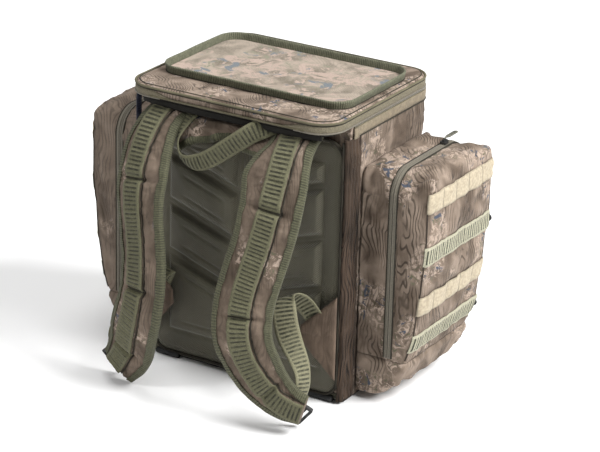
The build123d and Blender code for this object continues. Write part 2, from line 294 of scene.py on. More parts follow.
def bake(obj):
    """Applies an object's modifiers."""
    depsgraph = bpy.context.evaluated_depsgraph_get()
    mesh = bpy.data.meshes.new_from_object(obj.evaluated_get(depsgraph), depsgraph=depsgraph)
    old, obj.data = obj.data, mesh
    obj.modifiers.clear()
    bpy.data.meshes.remove(old)
    return obj


def coordinates(obj):
    co = np.zeros(len(obj.data.vertices) * 3)
    obj.data.vertices.foreach_get("co", co)
    return co.reshape(-1, 3) / MM


def place(obj, points):
    obj.data.vertices.foreach_set("co", (np.asarray(points) * MM).ravel())
    obj.data.update()


def point_normals(obj):
    normals = np.zeros(len(obj.data.vertices) * 3)
    obj.data.vertex_normals.foreach_get("vector", normals)
    return normals.reshape(-1, 3)


def remesh(obj, voxel):
    modifier = obj.modifiers.new("even", "REMESH")
    modifier.mode, modifier.voxel_size = "VOXEL", voxel * MM
    return bake(obj)


def subdivide(obj, levels=1):
    modifier = obj.modifiers.new("smooth", "SUBSURF")
    modifier.levels = modifier.render_levels = levels
    bake(obj)
    obj.data.polygons.foreach_set("use_smooth", [True] * len(obj.data.polygons))
    return obj


def cut(obj, point, normal):
    """Keeps the part of a mesh on the side the normal points to."""
    work = bmesh.new()
    work.from_mesh(obj.data)
    bmesh.ops.bisect_plane(work, geom=work.verts[:] + work.edges[:] + work.faces[:], dist=1e-6,
                           plane_co=Vector(point) * MM, plane_no=Vector(normal), clear_inner=True)
    work.to_mesh(obj.data)
    work.free()
    return obj


def thicken(obj, thickness):
    """Gives an open cloth its thickness inwards; the inside takes the second material."""
    modifier = obj.modifiers.new("cloth", "SOLIDIFY")
    modifier.thickness, modifier.offset = thickness * MM, -1
    modifier.material_offset = modifier.material_offset_rim = 1
    modifier.use_even_offset = False
    return bake(obj)


def copy_of(obj, name):
    twin = obj.copy()
    twin.data = obj.data.copy()
    twin.name = twin.data.name = name
    bpy.context.scene.collection.objects.link(twin)
    return twin


CLOTH_FRAMES = 18
CLOTH_STIFFNESS, CLOTH_BENDING = 15.0, 0.5


def settle(obj, hold, pressure, slack, cap):
    """Inflates a closed cloth from its seams. hold is how firmly each point is kept, 0 to 1."""
    group = obj.vertex_groups.new(name="hold")
    for index in np.nonzero(hold > 0.02)[0]:
        group.add([int(index)], float(hold[index]), "REPLACE")
    modifier = obj.modifiers.new("cloth", "CLOTH")
    cloth = modifier.settings
    cloth.quality, cloth.mass = 6, 0.3
    cloth.tension_stiffness = cloth.compression_stiffness = CLOTH_STIFFNESS
    cloth.shear_stiffness, cloth.bending_stiffness = CLOTH_STIFFNESS / 2, CLOTH_BENDING
    cloth.use_pressure, cloth.uniform_pressure_force = True, pressure
    cloth.shrink_min = slack
    cloth.vertex_group_mass = group.name
    cloth.effector_weights.gravity = 0
    modifier.point_cache.frame_start, modifier.point_cache.frame_end = 1, CLOTH_FRAMES
    before = coordinates(obj)
    scene = bpy.context.scene
    for number in range(1, CLOTH_FRAMES + 1):
        scene.frame_set(number)
    evaluated = obj.evaluated_get(bpy.context.evaluated_depsgraph_get())
    after = np.array([v.co for v in evaluated.data.vertices]) / MM
    scene.frame_set(1)
    obj.modifiers.clear()
    obj.vertex_groups.clear()
    move = after - before
    size = np.linalg.norm(move, axis=1, keepdims=True)
    place(obj, before + move * np.minimum(1, cap / np.maximum(size, 1e-6)))
    return obj


def finish_piece(obj, body, slot, *nodes, fill=None):
    """Puts a finished piece on its body and hides the CAD nodes it stands for; its slot is not used."""
    if body:
        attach(obj, body)
    if nodes:
        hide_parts(*nodes)
    return obj


def cord(name, path, radius, material, body, slot, *nodes, **shape):
    """A round cord along a path, finished on its body."""
    return finish_piece(piping(name, path, radius, material, **shape), body, slot, *nodes)


# ---------------------------------------------------------------- materials
# how far woven yarns stand up, in metres
YARN_DEPTH = 0.0002


def tint(color, factor, lift=0.0):
    """A colour made lighter or darker."""
    return tuple(c * factor + lift for c in color)


class Paint:
    """One procedural material, built up from small node steps."""

    def __init__(self, name, roughness=0.85, sheen=0.0, metallic=0.0, specular=0.3):
        self.material = bpy.data.materials.new(name)
        self.material.use_nodes = True
        self.nodes, self.links = self.material.node_tree.nodes, self.material.node_tree.links
        self.shader = self.nodes["Principled BSDF"]
        self.set(self.shader, Roughness=roughness, Metallic=metallic, Specular_IOR_Level=specular)
        if sheen:
            self.set(self.shader, Sheen_Weight=sheen, Sheen_Roughness=0.5)
        coordinate = self.nodes.new("ShaderNodeTexCoord")
        self.object_space = self.space = coordinate.outputs["Object"]
        self.pattern = coordinate.outputs["UV"]

    def plug(self, socket, value):
        """Links a socket to another node's output, or gives it a value or a colour."""
        if isinstance(value, bpy.types.NodeSocket):
            self.links.new(value, socket)
        elif socket.type == "RGBA":
            socket.default_value = (*value, 1)
        else:
            socket.default_value = value

    def set(self, node, **values):
        for name, value in values.items():
            self.plug(node.inputs[name.replace("_", " ")], value)

    def node(self, kind, **values):
        node = self.nodes.new(f"ShaderNode{kind}")
        self.set(node, **values)
        return node

    def math(self, operation, *values, clamp=False):
        node = self.nodes.new("ShaderNodeMath")
        node.operation, node.use_clamp = operation, clamp
        for socket, value in zip(node.inputs, values):
            self.plug(socket, value)
        return node.outputs[0]

    def times(self, a, b, clamp=False):
        return self.math("MULTIPLY", a, b, clamp=clamp)

    def plus(self, a, b):
        return self.math("ADD", a, b)

    def minus(self, a, b):
        return self.math("SUBTRACT", a, b)

    def wave(self, value, pitch):
        """A sine wave, -1 to 1, that repeats each time value grows by pitch."""
        return self.math("SINE", self.times(value, 2 * pi / pitch))

    def split(self, vector):
        return self.node("SeparateXYZ", Vector=vector).outputs

    def scaled(self, vector, scale, offset=(0, 0, 0)):
        return self.node("Mapping", Vector=vector, Scale=scale, Location=offset).outputs[0]

    def noise(self, vector, scale, detail=2.0, distortion=0.0, rough=0.5):
        return self.node("TexNoise", Vector=vector, Scale=scale, Detail=detail, Distortion=distortion,
                         Roughness=rough).outputs["Fac"]

    def between(self, value, low, high):
        """0 to 1 as value goes from low to high, with soft ends."""
        node = self.node("MapRange", Value=value, From_Min=low, From_Max=high)
        node.interpolation_type = "SMOOTHSTEP"
        return node.outputs[0]

    def mix(self, factor, a, b, blend="MIX"):
        node = self.nodes.new("ShaderNodeMix")
        node.data_type, node.blend_type = "RGBA", blend
        for index, value in ((0, factor), (6, a), (7, b)):
            self.plug(node.inputs[index], value)
        return node.outputs[2]

    def tones(self, value, low, high, color, dim, bright):
        """A colour's shades, from dim to bright times it as value goes from low to high."""
        return self.mix(self.between(value, low, high), tint(color, dim), tint(color, bright))

    def speckled(self, color, share, reach):
        """A colour with fine light and dark specks."""
        speck = self.noise(self.space, 900, 2)
        grey = self.mix(speck, (0.5 - reach,) * 3, (0.5 + reach,) * 3)
        return self.mix(share, color, grey, "SOFT_LIGHT")

    def bump(self, height, distance, strength=1.0, normal=None):
        node = self.node("Bump", Height=height, Distance=distance, Strength=strength)
        if normal is not None:
            self.set(node, Normal=normal)
        return node.outputs[0]

    def weave(self, vector, pitch, strength, normal=None):
        """A plain weave of yarns crossing at the given pitch."""
        x, y, z = self.split(vector)
        one = self.wave(self.plus(x, y), pitch)
        two = self.wave(self.plus(z, self.minus(x, y)), pitch)
        return self.bump(self.times(one, two), YARN_DEPTH, strength, normal)

    def done(self, color, normal):
        self.set(self.shader, Base_Color=color, Normal=normal)
        return self.material
# ---------------------------------------------------------------- prints and colours
LINES_PER_METRE, LINE_SWAY = 170.0, 13.0
RIB = 5.2
TACK = 33.8
LEAVES = ((0.36, 0.284, 0.228), (0.06, 0.07, 0.094), (0.11, 0.106, 0.066))
TRAY_LEAVES = ((0.36, 0.28, 0.232), (0.14, 0.155, 0.165), (0.2, 0.192, 0.138))
NO_LEAVES = 2.0


def camo(name, light, dark, patches, grain, leaves=LEAVES, leaf_size=1.0, shift=(0, 0, 0)):
    """Printed cloth: bark-like contour lines with clusters of pale leaves and blue-grey flecks."""
    paint = Paint(name, roughness=0.82, sheen=0.03, specular=0.2)
    paint.space = space = paint.scaled(paint.object_space, (1, 1, 1), shift)
    x, y, z = paint.split(space)
    flow = paint.noise(paint.scaled(space, (1, 1, 0.42)), 17, 2.5, 0.6)
    sway = paint.times(paint.minus(flow, 0.5), LINE_SWAY)
    turns = paint.plus(paint.times(paint.plus(x, y), LINES_PER_METRE), sway)
    presence = paint.between(paint.noise(space, 26, 2), 0.38, 0.6)
    line = paint.times(paint.between(paint.wave(turns, 1.0), 0.05, 0.95), presence)
    tone = paint.between(paint.noise(paint.scaled(space, (1, 1, 0.5)), 38, 4, 0.5), 0.3, 0.72)
    color = paint.mix(tone, dark, light)
    place = paint.scaled(space, (1, 1, 0.8), (0.3, 0.1, 0.2))
    region = paint.between(paint.noise(place, 13.5, 1.5), patches, patches + 0.05)
    leaf = paint.noise(space, 105 / leaf_size, 3, 1.4, 0.65)
    fleck = paint.noise(paint.scaled(space, (1, 1, 1), (3, 1, 2)), 62 / leaf_size, 3, 1.2, 0.6)
    pale, blue, olive = leaves
    for mark, low, high, shade in ((leaf, 0.48, 0.58, pale), (fleck, 0.6, 0.65, blue),
                                   (leaf, 0.4, 0.34, olive)):
        color = paint.mix(paint.times(region, paint.between(mark, low, high)), color, shade)
    over = paint.minus(0.8 * grain, paint.times(region, 0.35 * grain))
    color = paint.mix(paint.times(line, over), color, tint(dark, 0.3))
    color = paint.speckled(color, 0.35, 0.25)
    crumple = paint.bump(paint.noise(space, 120, 3), 0.0006, 0.35)
    return paint.done(color, paint.weave(space, 0.0011, 0.5, crumple))


def webbing(name, color, slot_color, pitch=RIB * MM, slot_share=0.5, edge=0.7, contrast=1.0):
    """Ribbed webbing: dark slots across the middle, plain woven edges."""
    paint = Paint(name, roughness=0.8, sheen=0.04)
    along, across = paint.split(paint.pattern)[:2]
    rib = paint.wave(along, pitch)
    middle = 1 - 2 * slot_share
    inner = paint.between(paint.math("ABSOLUTE", across), edge + 0.1, edge - 0.05)
    slots = paint.times(paint.between(rib, middle - 0.25, middle + 0.45), inner)
    base = paint.tones(paint.noise(paint.object_space, 700, 2), 0.3, 0.7, color, 0.78, 1.2)
    patchy = paint.between(paint.noise(paint.object_space, 160, 2), 0.35, 0.65)
    worn = paint.plus(paint.times(patchy, 0.45), 0.55 * contrast)
    shade = paint.mix(paint.times(slots, worn, clamp=True), base, slot_color)
    height = paint.plus(paint.times(slots, -1.0), paint.times(paint.wave(along, 0.0014), 0.12))
    return paint.done(shade, paint.bump(height, 0.0007, 0.8))


def plain_webbing(name, color, cell=None):
    """Smooth flat webbing with fine yarns, and dark bar tacks every cell where it is sewn in cells."""
    paint = Paint(name, roughness=0.75, sheen=0.05)
    along, across = paint.split(paint.pattern)[:2]
    yarn = paint.times(paint.wave(along, 0.0016), paint.math("SINE", paint.times(across, 60.0)))
    shade = paint.tones(paint.noise(paint.object_space, 260, 3), 0.3, 0.75, color, 0.8, 1.15)
    if cell:
        turns = paint.math("FRACT", paint.math("DIVIDE", along, cell))
        phase = paint.math("ABSOLUTE", paint.minus(turns, 0.5))
        tack = paint.between(phase, 0.5 - 0.0013 / cell, 0.5 - 0.0005 / cell)
        shade = paint.mix(paint.times(tack, 0.65), shade, tint(color, 0.3))
    edge = paint.between(paint.math("ABSOLUTE", across), 0.86, 0.9)
    shade = paint.mix(paint.times(edge, 0.35), shade, tint(color, 0.5))
    return paint.done(shade, paint.bump(yarn, YARN_DEPTH, 0.5))


def cloth(name, color, roughness=0.9, sheen=0.02):
    """Plain woven cloth in one colour, with worn and dusty tones."""
    paint = Paint(name, roughness=roughness, sheen=sheen)
    shade = paint.tones(paint.noise(paint.object_space, 45, 4), 0.3, 0.75, color, 0.75, 1.2)
    shade = paint.speckled(shade, 0.4, 0.2)
    return paint.done(shade, paint.weave(paint.object_space, 0.0012, 0.6))


def knit(name, color):
    """Moulded foam under a fine diagonal ribbed knit."""
    paint = Paint(name, roughness=0.6, sheen=0.25, specular=0.35)
    x, y, z = paint.split(paint.object_space)
    bend = paint.times(paint.noise(paint.object_space, 14, 2), 0.012)
    rib = paint.wave(paint.plus(paint.minus(z, x), bend), 0.0028)
    shade = paint.tones(paint.noise(paint.object_space, 24, 3), 0.25, 0.8, color, 0.82, 1.15)
    shade = paint.mix(paint.times(paint.between(rib, -0.2, 0.9), 0.3), shade, tint(color, 1.5))
    return paint.done(shade, paint.bump(rib, 0.0004, 0.6))


def coil(name, tape, tooth):
    """Zip: tape with the small teeth of its coil across it."""
    paint = Paint(name, roughness=0.55, sheen=0.1, specular=0.4)
    along = paint.split(paint.pattern)[0]
    teeth = paint.between(paint.wave(along, 0.0016), -0.5, 0.6)
    base = paint.tones(paint.noise(paint.object_space, 500, 2), 0.3, 0.7, tape, 0.8, 1.15)
    shade = paint.mix(paint.times(teeth, 0.7), base, tooth)
    return paint.done(shade, paint.bump(teeth, 0.0004, 0.8))


def moulded(name, color, roughness=0.6, metallic=0.0):
    """Moulded plastic or painted metal with a fine grain and worn tone."""
    paint = Paint(name, roughness=roughness, metallic=metallic, specular=0.35)
    worn = paint.between(paint.noise(paint.object_space, 120, 4), 0.35, 0.75)
    shade = paint.mix(worn, color, tint(color, 1.6, 0.01))
    grain = paint.noise(paint.object_space, 1500, 2)
    return paint.done(shade, paint.bump(grain, 0.00008, 0.5))


CAMO = camo("camo_print", (0.26, 0.202, 0.157), (0.095, 0.069, 0.05), 0.49, 1.0)
CAMO_TRAY = camo("camo_tray_print", (0.33, 0.276, 0.222), (0.15, 0.128, 0.098), 0.4, 0.25, TRAY_LEAVES,
                 leaf_size=2.2, shift=(0.2, 0.1, 0.05))
CAMO_STRAP = camo("camo_strap_print", (0.182, 0.138, 0.104), (0.076, 0.056, 0.04), 0.52, 0.5,
                  shift=(0.5, 0.2, 0.1))
CAMO_PLAIN = camo("camo_plain_print", (0.2, 0.155, 0.12), (0.094, 0.071, 0.054), 0.66, 0.55,
                  shift=(0.3, 0.3, 0.1))
CAMO_WING = camo("camo_wing_print", (0.15, 0.108, 0.078), (0.085, 0.06, 0.043), NO_LEAVES, 0.3,
                 shift=(0.4, 0.1, 0.3))
CAMO_DARK = camo("camo_gusset_print", (0.068, 0.045, 0.031), (0.026, 0.017, 0.011), NO_LEAVES, 1.2,
                 shift=(0.1, 0.3, 0.2))
GREEN = webbing("green_ribbed_webbing", (0.105, 0.101, 0.058), (0.022, 0.022, 0.013), slot_share=0.42)
# a lighter copy of the green webbing, used on the right adjuster only: painted light for its lit top
LIT_GREEN = webbing("lit_adjuster_ribbed_webbing", (0.17, 0.162, 0.1), (0.03, 0.031, 0.019))
GREEN_PALE = webbing("pale_ribbed_webbing", (0.335, 0.32, 0.235), (0.03, 0.034, 0.02), contrast=1.5)
GREEN_RIM = webbing("rim_ribbed_webbing", (0.135, 0.137, 0.09), (0.038, 0.04, 0.025), pitch=0.0026, edge=0.95,
                    contrast=0.7)
BINDING = webbing("ribbed_binding", (0.085, 0.084, 0.048), (0.024, 0.025, 0.015), pitch=0.0029, edge=1.3,
                  contrast=0.6)
TAPE = webbing("olive_tape", (0.165, 0.143, 0.096), (0.085, 0.075, 0.05), pitch=0.0016, edge=1.3,
               contrast=0.3)
PULL = webbing("grey_pull_cord", (0.16, 0.155, 0.12), (0.04, 0.04, 0.03), pitch=0.003, edge=1.3)
TAN = plain_webbing("tan_flat_webbing", (0.385, 0.328, 0.236), cell=TACK * MM)
TAN_BINDING = plain_webbing("tan_binding", (0.2, 0.163, 0.11))
ZIP = coil("zip_tape_and_coil", (0.105, 0.093, 0.069), (0.2, 0.178, 0.135))
PIPE_DARK = cloth("dark_piping", (0.03, 0.026, 0.018))
PIPE_BROWN = cloth("brown_piping", (0.045, 0.034, 0.025))
PIPE_LIGHT = cloth("olive_piping", (0.12, 0.107, 0.066))
EVA = knit("moulded_knit", (0.076, 0.07, 0.045))
LINING = cloth("dark_lining", (0.022, 0.02, 0.016))
# near-black cloth for the eave flange, the hinge strip and the strip under the lid's edge: painted shade for
# the deep shadow under the lid's overhang
PAINTED_SHADE = cloth("painted_shade_lining", (0.01, 0.009, 0.007), sheen=0.0)
BASE = cloth("coated_base", (0.03, 0.028, 0.022), roughness=0.6)
PLASTIC = moulded("black_plastic_moulding", (0.012, 0.012, 0.012))
METAL = moulded("painted_slider", (0.035, 0.035, 0.035), 0.35, 0.6)
RUBBER = moulded("navy_rubber_tape", (0.016, 0.019, 0.034), 0.5)
STIFF = moulded("plain_board", (0.05, 0.05, 0.05), 0.6)
# ---------------------------------------------------------------- camera, floor and light
TARGET, DISTANCE = Vector((0, 27, 167.6)), 3339.9
AZIMUTH, ELEVATION, ROLL = radians(31.26), radians(22.22), radians(1.35)
LENS, SENSOR, LENS_SHIFT = 154.57, 36, (0.0302, 0.016)
FLOOR = 9000
LIGHTS = (("key", (3.1, 0.3, 3.1), 2.4, 315), ("front", (-0.9, -2.8, 2.8), 0.8, 44),
          ("top", (-0.4, 0.3, 4.4), 2.4, 95))
SKY = 0.24
scene = bpy.context.scene
right = Vector((cos(AZIMUTH), sin(AZIMUTH), 0))
back = Vector((sin(AZIMUTH) * cos(ELEVATION), -cos(AZIMUTH) * cos(ELEVATION), sin(ELEVATION)))
up = back.cross(right)
axes = Matrix((right * cos(ROLL) + up * sin(ROLL), up * cos(ROLL) - right * sin(ROLL), back))
camera = bpy.data.objects.new("camera", bpy.data.cameras.new("camera"))
camera.data.lens, camera.data.sensor_width = LENS, SENSOR
camera.data.shift_x, camera.data.shift_y = LENS_SHIFT
camera.matrix_world = Matrix.Translation((TARGET + back * DISTANCE) * MM) @ axes.transposed().to_4x4()
scene.collection.objects.link(camera)
scene.camera = camera

floor_paint = Paint("pale_floor", roughness=0.9)
tone = floor_paint.noise(floor_paint.object_space, 3, 2)
floor_color = floor_paint.mix(tone, (0.9, 0.9, 0.9), (0.92, 0.92, 0.92))
floor_paint.set(floor_paint.shader, Base_Color=floor_color)
corners = [(-FLOOR, -FLOOR, 0), (FLOOR, -FLOOR, 0), (FLOOR, FLOOR, 0), (-FLOOR, FLOOR, 0)]
floor = add_mesh("floor", corners, [(0, 1, 2, 3)], floor_paint.material)

for name, position, size, power in LIGHTS:
    data = bpy.data.lights.new(name, "AREA")
    data.shape, data.size, data.energy = "DISK", size, power
    lamp = bpy.data.objects.new(name, data)
    lamp.location = position
    lamp.rotation_euler = (Vector((0, 0, 0.2)) - Vector(position)).to_track_quat("-Z", "Y").to_euler()
    scene.collection.objects.link(lamp)
world = bpy.data.worlds.new("world")
scene.world = world
world.use_nodes = True
sky = world.node_tree.nodes["Background"].inputs
sky["Color"].default_value = (1, 1, 1, 1)
sky["Strength"].default_value = SKY
scene.view_settings.view_transform = "Standard"

# ---------------------------------------------------------------- body shell
low, high = node_box("base_panel")
body_low, body_high = low[:2], high[:2]
back_y = node_box("back_wall")[0][1]
rim_z = node_box("right_wall")[1][2]
BODY_RADII = (3, 3, 28, 28)
CLOTH_FOOT, PLAIN_TOP = 2.6, 296
WALL, LINING_IN, LINING_OUT = 1.9, 3.0, 2.0
# heights over which the walls' pinched folds fade in and out, and over which the rim goes flat
PINCH_FOOT, PINCH_TOP, FLAT_RIM = (300, 325), (358, 350), (353, 357)
# the profiles of the base and the lid are pairs: how far a loop stands out past the plan, less than 0
# where it is inside, and its height
BASE_PROFILE = ((-6, 0), (-1.5, 0), (-0.2, 0.8), (0.4, 2), (0.2, 3.4), (-2, 3.4))


def body_loop(grow, z, counts=(60, 50, 9)):
    return level_loop(body_low, body_high, [r + grow for r in BODY_RADII], grow, z, counts)


def wall_folds(points):
    """Soft folds in the walls: long upright ones, and pinched ones above the side pockets."""
    long_folds = noise(points * (1, 1, 0.3), 24, 3) * 0.9 + noise(points * (1, 1, 0.5), 9, 4) * 0.35
    slant = points + np.array([0.0, 0.5, 0.9]) * points[..., 2:] * 0.4
    pinched = ridges(slant * (1, 1, 0.7), 22, 8) ** 3 * 1.9 - 0.6
    upper = step_between(*PINCH_FOOT, points[..., 2]) * step_between(*PINCH_TOP, points[..., 2])
    pinched = pinched * 1.4 + noise(slant * (1, 1, 1.5), 8, 9) * 0.8
    return long_folds * 1.3 * (1 - upper) + pinched * upper


levels = np.concatenate([np.linspace(CLOTH_FOOT, PLAIN_TOP, 60), np.linspace(PLAIN_TOP + 3, rim_z, 28)])
outer, inner = [], []
for z in levels:
    points, normals = body_loop(0, z)
    flat_rim = 1 - step_between(*FLAT_RIM, z)
    outer.append(points + normals * (wall_folds(points) * flat_rim)[:, None])
    inner.append(body_loop(-WALL, z)[0])
body_cloth = sheet_mesh("body_cloth", np.array(outer), np.array(inner), CAMO, closed=True)
finish_piece(body_cloth, "pack", "camo_fabric", "front_wall", "right_wall", "left_wall", fill=0.3)
faces = [np.array([body_loop(-depth, z)[0] for z in levels[::6]]) for depth in (LINING_OUT, LINING_IN)]
finish_piece(sheet_mesh("body_lining", *faces, LINING, closed=True), "pack", "lining", "back_wall")
base = loft("base_cloth", [body_loop(grow, z)[0] for grow, z in BASE_PROFILE], BASE)
finish_piece(base, "pack", "base_fabric", "base_panel")


def band(name, path, normals, low, high, grow, thickness, material, rise=UP, bulge=0.0):
    """Tape laid along a path: its width runs from low to high along rise, its face along the normals."""
    share = np.linspace(-1, 1, 5)
    low, high = [np.broadcast_to(edge, len(path))[:, None] for edge in (low, high)]
    offset = (low + high) / 2 + share * (high - low) / 2
    out = grow + thickness / 2 + bulge * (1 - share ** 2)
    top = path[:, None] + normals[:, None] * out[None, :, None] + rise * offset[..., None]
    under = top - normals[:, None] * thickness
    return sheet_mesh(name, top, under, material, pattern(lengths(path), share))


def facing_out(path, direction):
    """The same outward direction at every point of a straight line."""
    return np.broadcast_to(np.array(direction, float), path.shape)


loop, loop_normals = body_loop(0, 0, (90, 90, 14))
low, high = node_box("top_binding")
kept = loop[:, 1] > low[1]
path, normals = loop[kept], loop_normals[kept]
binding = band("top_binding_tape", path, normals, low[2], high[2], 0.9, 1.6, TAN_BINDING, bulge=0.5)
finish_piece(binding, "pack", "tan_webbing", "top_binding")
for name, z, radius, paint in (("binding_stitch_low", low[2] - 0.4, 1.0, PIPE_DARK),
                               ("binding_stitch_high", high[2] - 0.6, 0.6, PIPE_LIGHT)):
    cord(name, path + normals * 1.6 + UP * z, radius, paint, "pack", "tan_webbing")
low, high = node_box("body_zip")
body_zip = band("body_zip_teeth", path, normals, low[2], high[2], 0.6, 2.2, ZIP, bulge=0.4)
finish_piece(body_zip, "pack", "zip_tape", "body_zip")

# flange under the lid's hinge edge, coloured near-black as painted shade: its edge stands in from the lid,
# and further in near its two faces
low, high = node_box("eave_panel")
lid_low, lid_high = node_box("lid_zip")
LID_R = 34.0
PAD_FACE = -63.0
EAVE_HALF, EAVE_BACK, EAVE_IN = 142.8, -50, 9
EAVE_EDGE = ((6, 0.2), (0.6, 0.2), (0, 1.2))
eave_profile = [(inset, low[2] + rise) for inset, rise in EAVE_EDGE]
eave_profile += [(inset, high[2] - drop) for inset, drop in EAVE_EDGE[::-1]]
eave_corner = np.array([lid_high[0], EAVE_BACK])
flange = []
for inset, z in eave_profile:
    grow = -EAVE_IN - inset
    radii = (LID_R + grow, LID_R + grow, 2, 2)
    points, normals = level_loop(lid_low[:2], eave_corner, radii, grow, z, (60, 50, 9))
    beside_pad = points[:, 1] > PAD_FACE - 1
    points[:, 0] = np.where(beside_pad, np.clip(points[:, 0], -EAVE_HALF, EAVE_HALF), points[:, 0])
    flange.append(points)
finish_piece(loft("eave_cloth", flange, PAINTED_SHADE), "pack", "lining", "eave_panel")
# a near-black strip under the lid's strap-side edge, not a part of the pack: painted shadow under the
# overhang
SHADE_STRIP_HALF = 130
shade_strip_line = np.array([(x, lid_low[1] + 4.5 + 8 * abs(x / SHADE_STRIP_HALF) ** 6, 0)
                       for x in np.linspace(-SHADE_STRIP_HALF, SHADE_STRIP_HALF, 60)])
out = facing_out(shade_strip_line, (0, -1, 0))
shade_strip = band("eave_shade_strip", shade_strip_line, out, low[2] - 4.5, high[2] - 0.5, 0, 1.6, PAINTED_SHADE, bulge=0.6)
finish_piece(shade_strip, "pack", "lining")

# strips beside the back pad, gathered into upright pleats
pad_low, pad_high = node_box("back_pad")
PLEAT, STRIP_T = 7.4, 1.8
PAD_SEAM_X, PAD_SEAM_FOOT = 139.9, 22
# the strip's plan on the right side, from the pad's seam round to the body
GUSSET_PLAN = [(140.5, -60.5), (141.5, -63.4), (144.4, -63.2), (147.4, -59.5), (148.2, -54), (148.4, -44),
               (147.6, -34), (146.0, -30.8)]
edge = smooth_path(GUSSET_PLAN, 1.1)
out = tangents(edge)[:, ::-1] * (1, -1)
run = lengths(edge)
for side, label in SIDES:
    low, high = node_box(f"{label}_gusset")
    u, v = np.meshgrid(run, np.linspace(low[2] + 0.5, high[2] - 0.5, 150))
    points = np.stack([np.broadcast_to(edge[:, 0], u.shape), np.broadcast_to(edge[:, 1], u.shape), v], -1)
    drift = noise(np.stack([u * 0, u * 0, v], -1), 55, 21) * 2.6
    pleats = np.abs(np.sin((u + drift) * pi / PLEAT)) ** 0.6 * 2.0 - 1.3
    pinch = ridges(points * (1, 1, 1.6), 26, 12 + side) ** 4 * 1.6
    fade = step_between(0, 5, u) * step_between(run[-1], run[-1] - 4, u)
    outwards = np.broadcast_to(np.column_stack([out, np.zeros(len(out))]), points.shape)
    top = points + outwards * ((pleats + pinch - 0.6) * fade)[..., None]
    under = points - outwards * STRIP_T
    for grid in (top, under):
        grid[..., 0] *= side
    strip = sheet_mesh(f"{label}_gusset_cloth", top, under, CAMO_DARK)
    finish_piece(strip, "pack", "camo_fabric", f"{label}_gusset", fill=0.4)
    seam_z = np.linspace(PAD_SEAM_FOOT, pad_high[2] + 2, 30)
    seam = np.array([(side * PAD_SEAM_X, PAD_FACE - 0.6, z) for z in seam_z])
    cord(f"{label}_pad_piping", seam, 1.7, PIPE_DARK, "pack", "zip_tape", hint=(0, 1, 0))

# ---------------------------------------------------------------- lid
plan_low, plan_high = lid_low[:2], lid_high[:2]
PAD_TOP, SHOULDER = 389.4, 6.5
LINING_PROFILE = ((-1.9, 375.2), (-2.4, 374.1), (-6, 373.9), (-40, 373.75), (-100, 373.7), (-124, 373.7))
PAD_EDGE = [(-6, 375.4), (-1.9, 375.4), (-1.0, 376.4), (-0.7, 379), (-0.6, 382), (-0.8, 384.6), (-1.8, 387.2),
            (-3.6, 388.7), (-SHOULDER, PAD_TOP)]


def lid_loop(grow, z, counts=(110, 96, 14)):
    return level_loop(plan_low, plan_high, [max(LID_R + grow, 1.5)] * 4, grow, z, counts)


crown = [(-d, PAD_TOP + 0.5 * sin(min(d - SHOULDER, 30) / 30 * pi)) for d in np.linspace(11, 124, 26)]
pad_loops = []
for grow, z in PAD_EDGE + crown:
    points, normals = lid_loop(grow, z)
    puff = noise(points, 26, 31) * 0.5 + noise(points, 11, 32) * 0.28
    rise = puff * step_between(-4, -8, grow) * 1.3
    side_puff = (puff * (grow > -1.7) * 0.5)[:, None]
    pad_loops.append(points + normals * side_puff + UP * rise[:, None])
finish_piece(loft("lid_pad", pad_loops, CAMO), "lid", "camo_fabric", "lid_panel", fill=0.5)
loops = [lid_loop(grow, z)[0] for grow, z in LINING_PROFILE]
for points in loops[3:]:
    points[:, 2] += noise(points, 40, 5) * 0.1
finish_piece(loft("lid_lining_cloth", loops, LINING), "lid", "lining", "lid_lining")

ring, ring_normals = lid_loop(0, 0, (150, 130, 18))
cord("lid_edge_cord", ring + ring_normals * 0.1 + UP * (PAD_TOP - 2.4), 1.5, PIPE_LIGHT, "lid", "zip_tape",
     "lid_piping", closed=True)
edge_seam, inner_seam = ring - ring_normals * 0.1 + UP * (PAD_TOP - 4.5), lid_loop(-5.2, PAD_TOP - 0.3)[0]
cord("lid_edge_seam", edge_seam, 0.9, PIPE_DARK, "lid", "zip_tape", closed=True)
cord("lid_inner_seam", inner_seam, 0.8, PIPE_DARK, "lid", "zip_tape", closed=True)

# the zip tape runs round the lid and narrows into the seam over the sewn hinge
ZIP_FOOT, ZIP_END, ZIP_FADE = 374.8, 104.0, 34.0
hinge_side = ring[:, 1] < plan_low[1] + 1
start = np.argmin(np.abs(ring[:, 0]) + 1e3 * ~hinge_side)
order = np.append(np.roll(np.arange(len(ring)), -start), start)
zip_line, zip_normals = ring[order], ring_normals[order]
share = np.maximum(step_between(ZIP_END - ZIP_FADE, ZIP_END + 12, np.abs(zip_line[:, 0])), ~hinge_side[order])
tape = band("lid_zip_cloth", zip_line, zip_normals, ZIP_FOOT, ZIP_FOOT + 1.6 + share * 7.8, -0.5, 1.2, TAPE,
            bulge=0.6)
finish_piece(tape, "lid", "zip_tape", "lid_zip")
teeth_line = (zip_line + zip_normals * 0.3 + UP * (ZIP_FOOT + 0.2))[share > 0.6]
cord("lid_zip_teeth", teeth_line, 1.2, ZIP, "lid", "zip_tape")
hem_x = np.linspace(-ZIP_END - 8, ZIP_END + 8, 70)
for name, rise, depth, radius, paint in (("lid_hinge_cord", 1.8, -0.3, 1.2, PIPE_LIGHT),
                                         ("lid_hinge_seam", 0.1, 0.7, 1.1, PIPE_DARK)):
    hem = np.array([(x, plan_low[1] + depth, ZIP_FOOT + rise) for x in hem_x])
    cord(name, hem, radius, paint, "lid", "zip_tape")

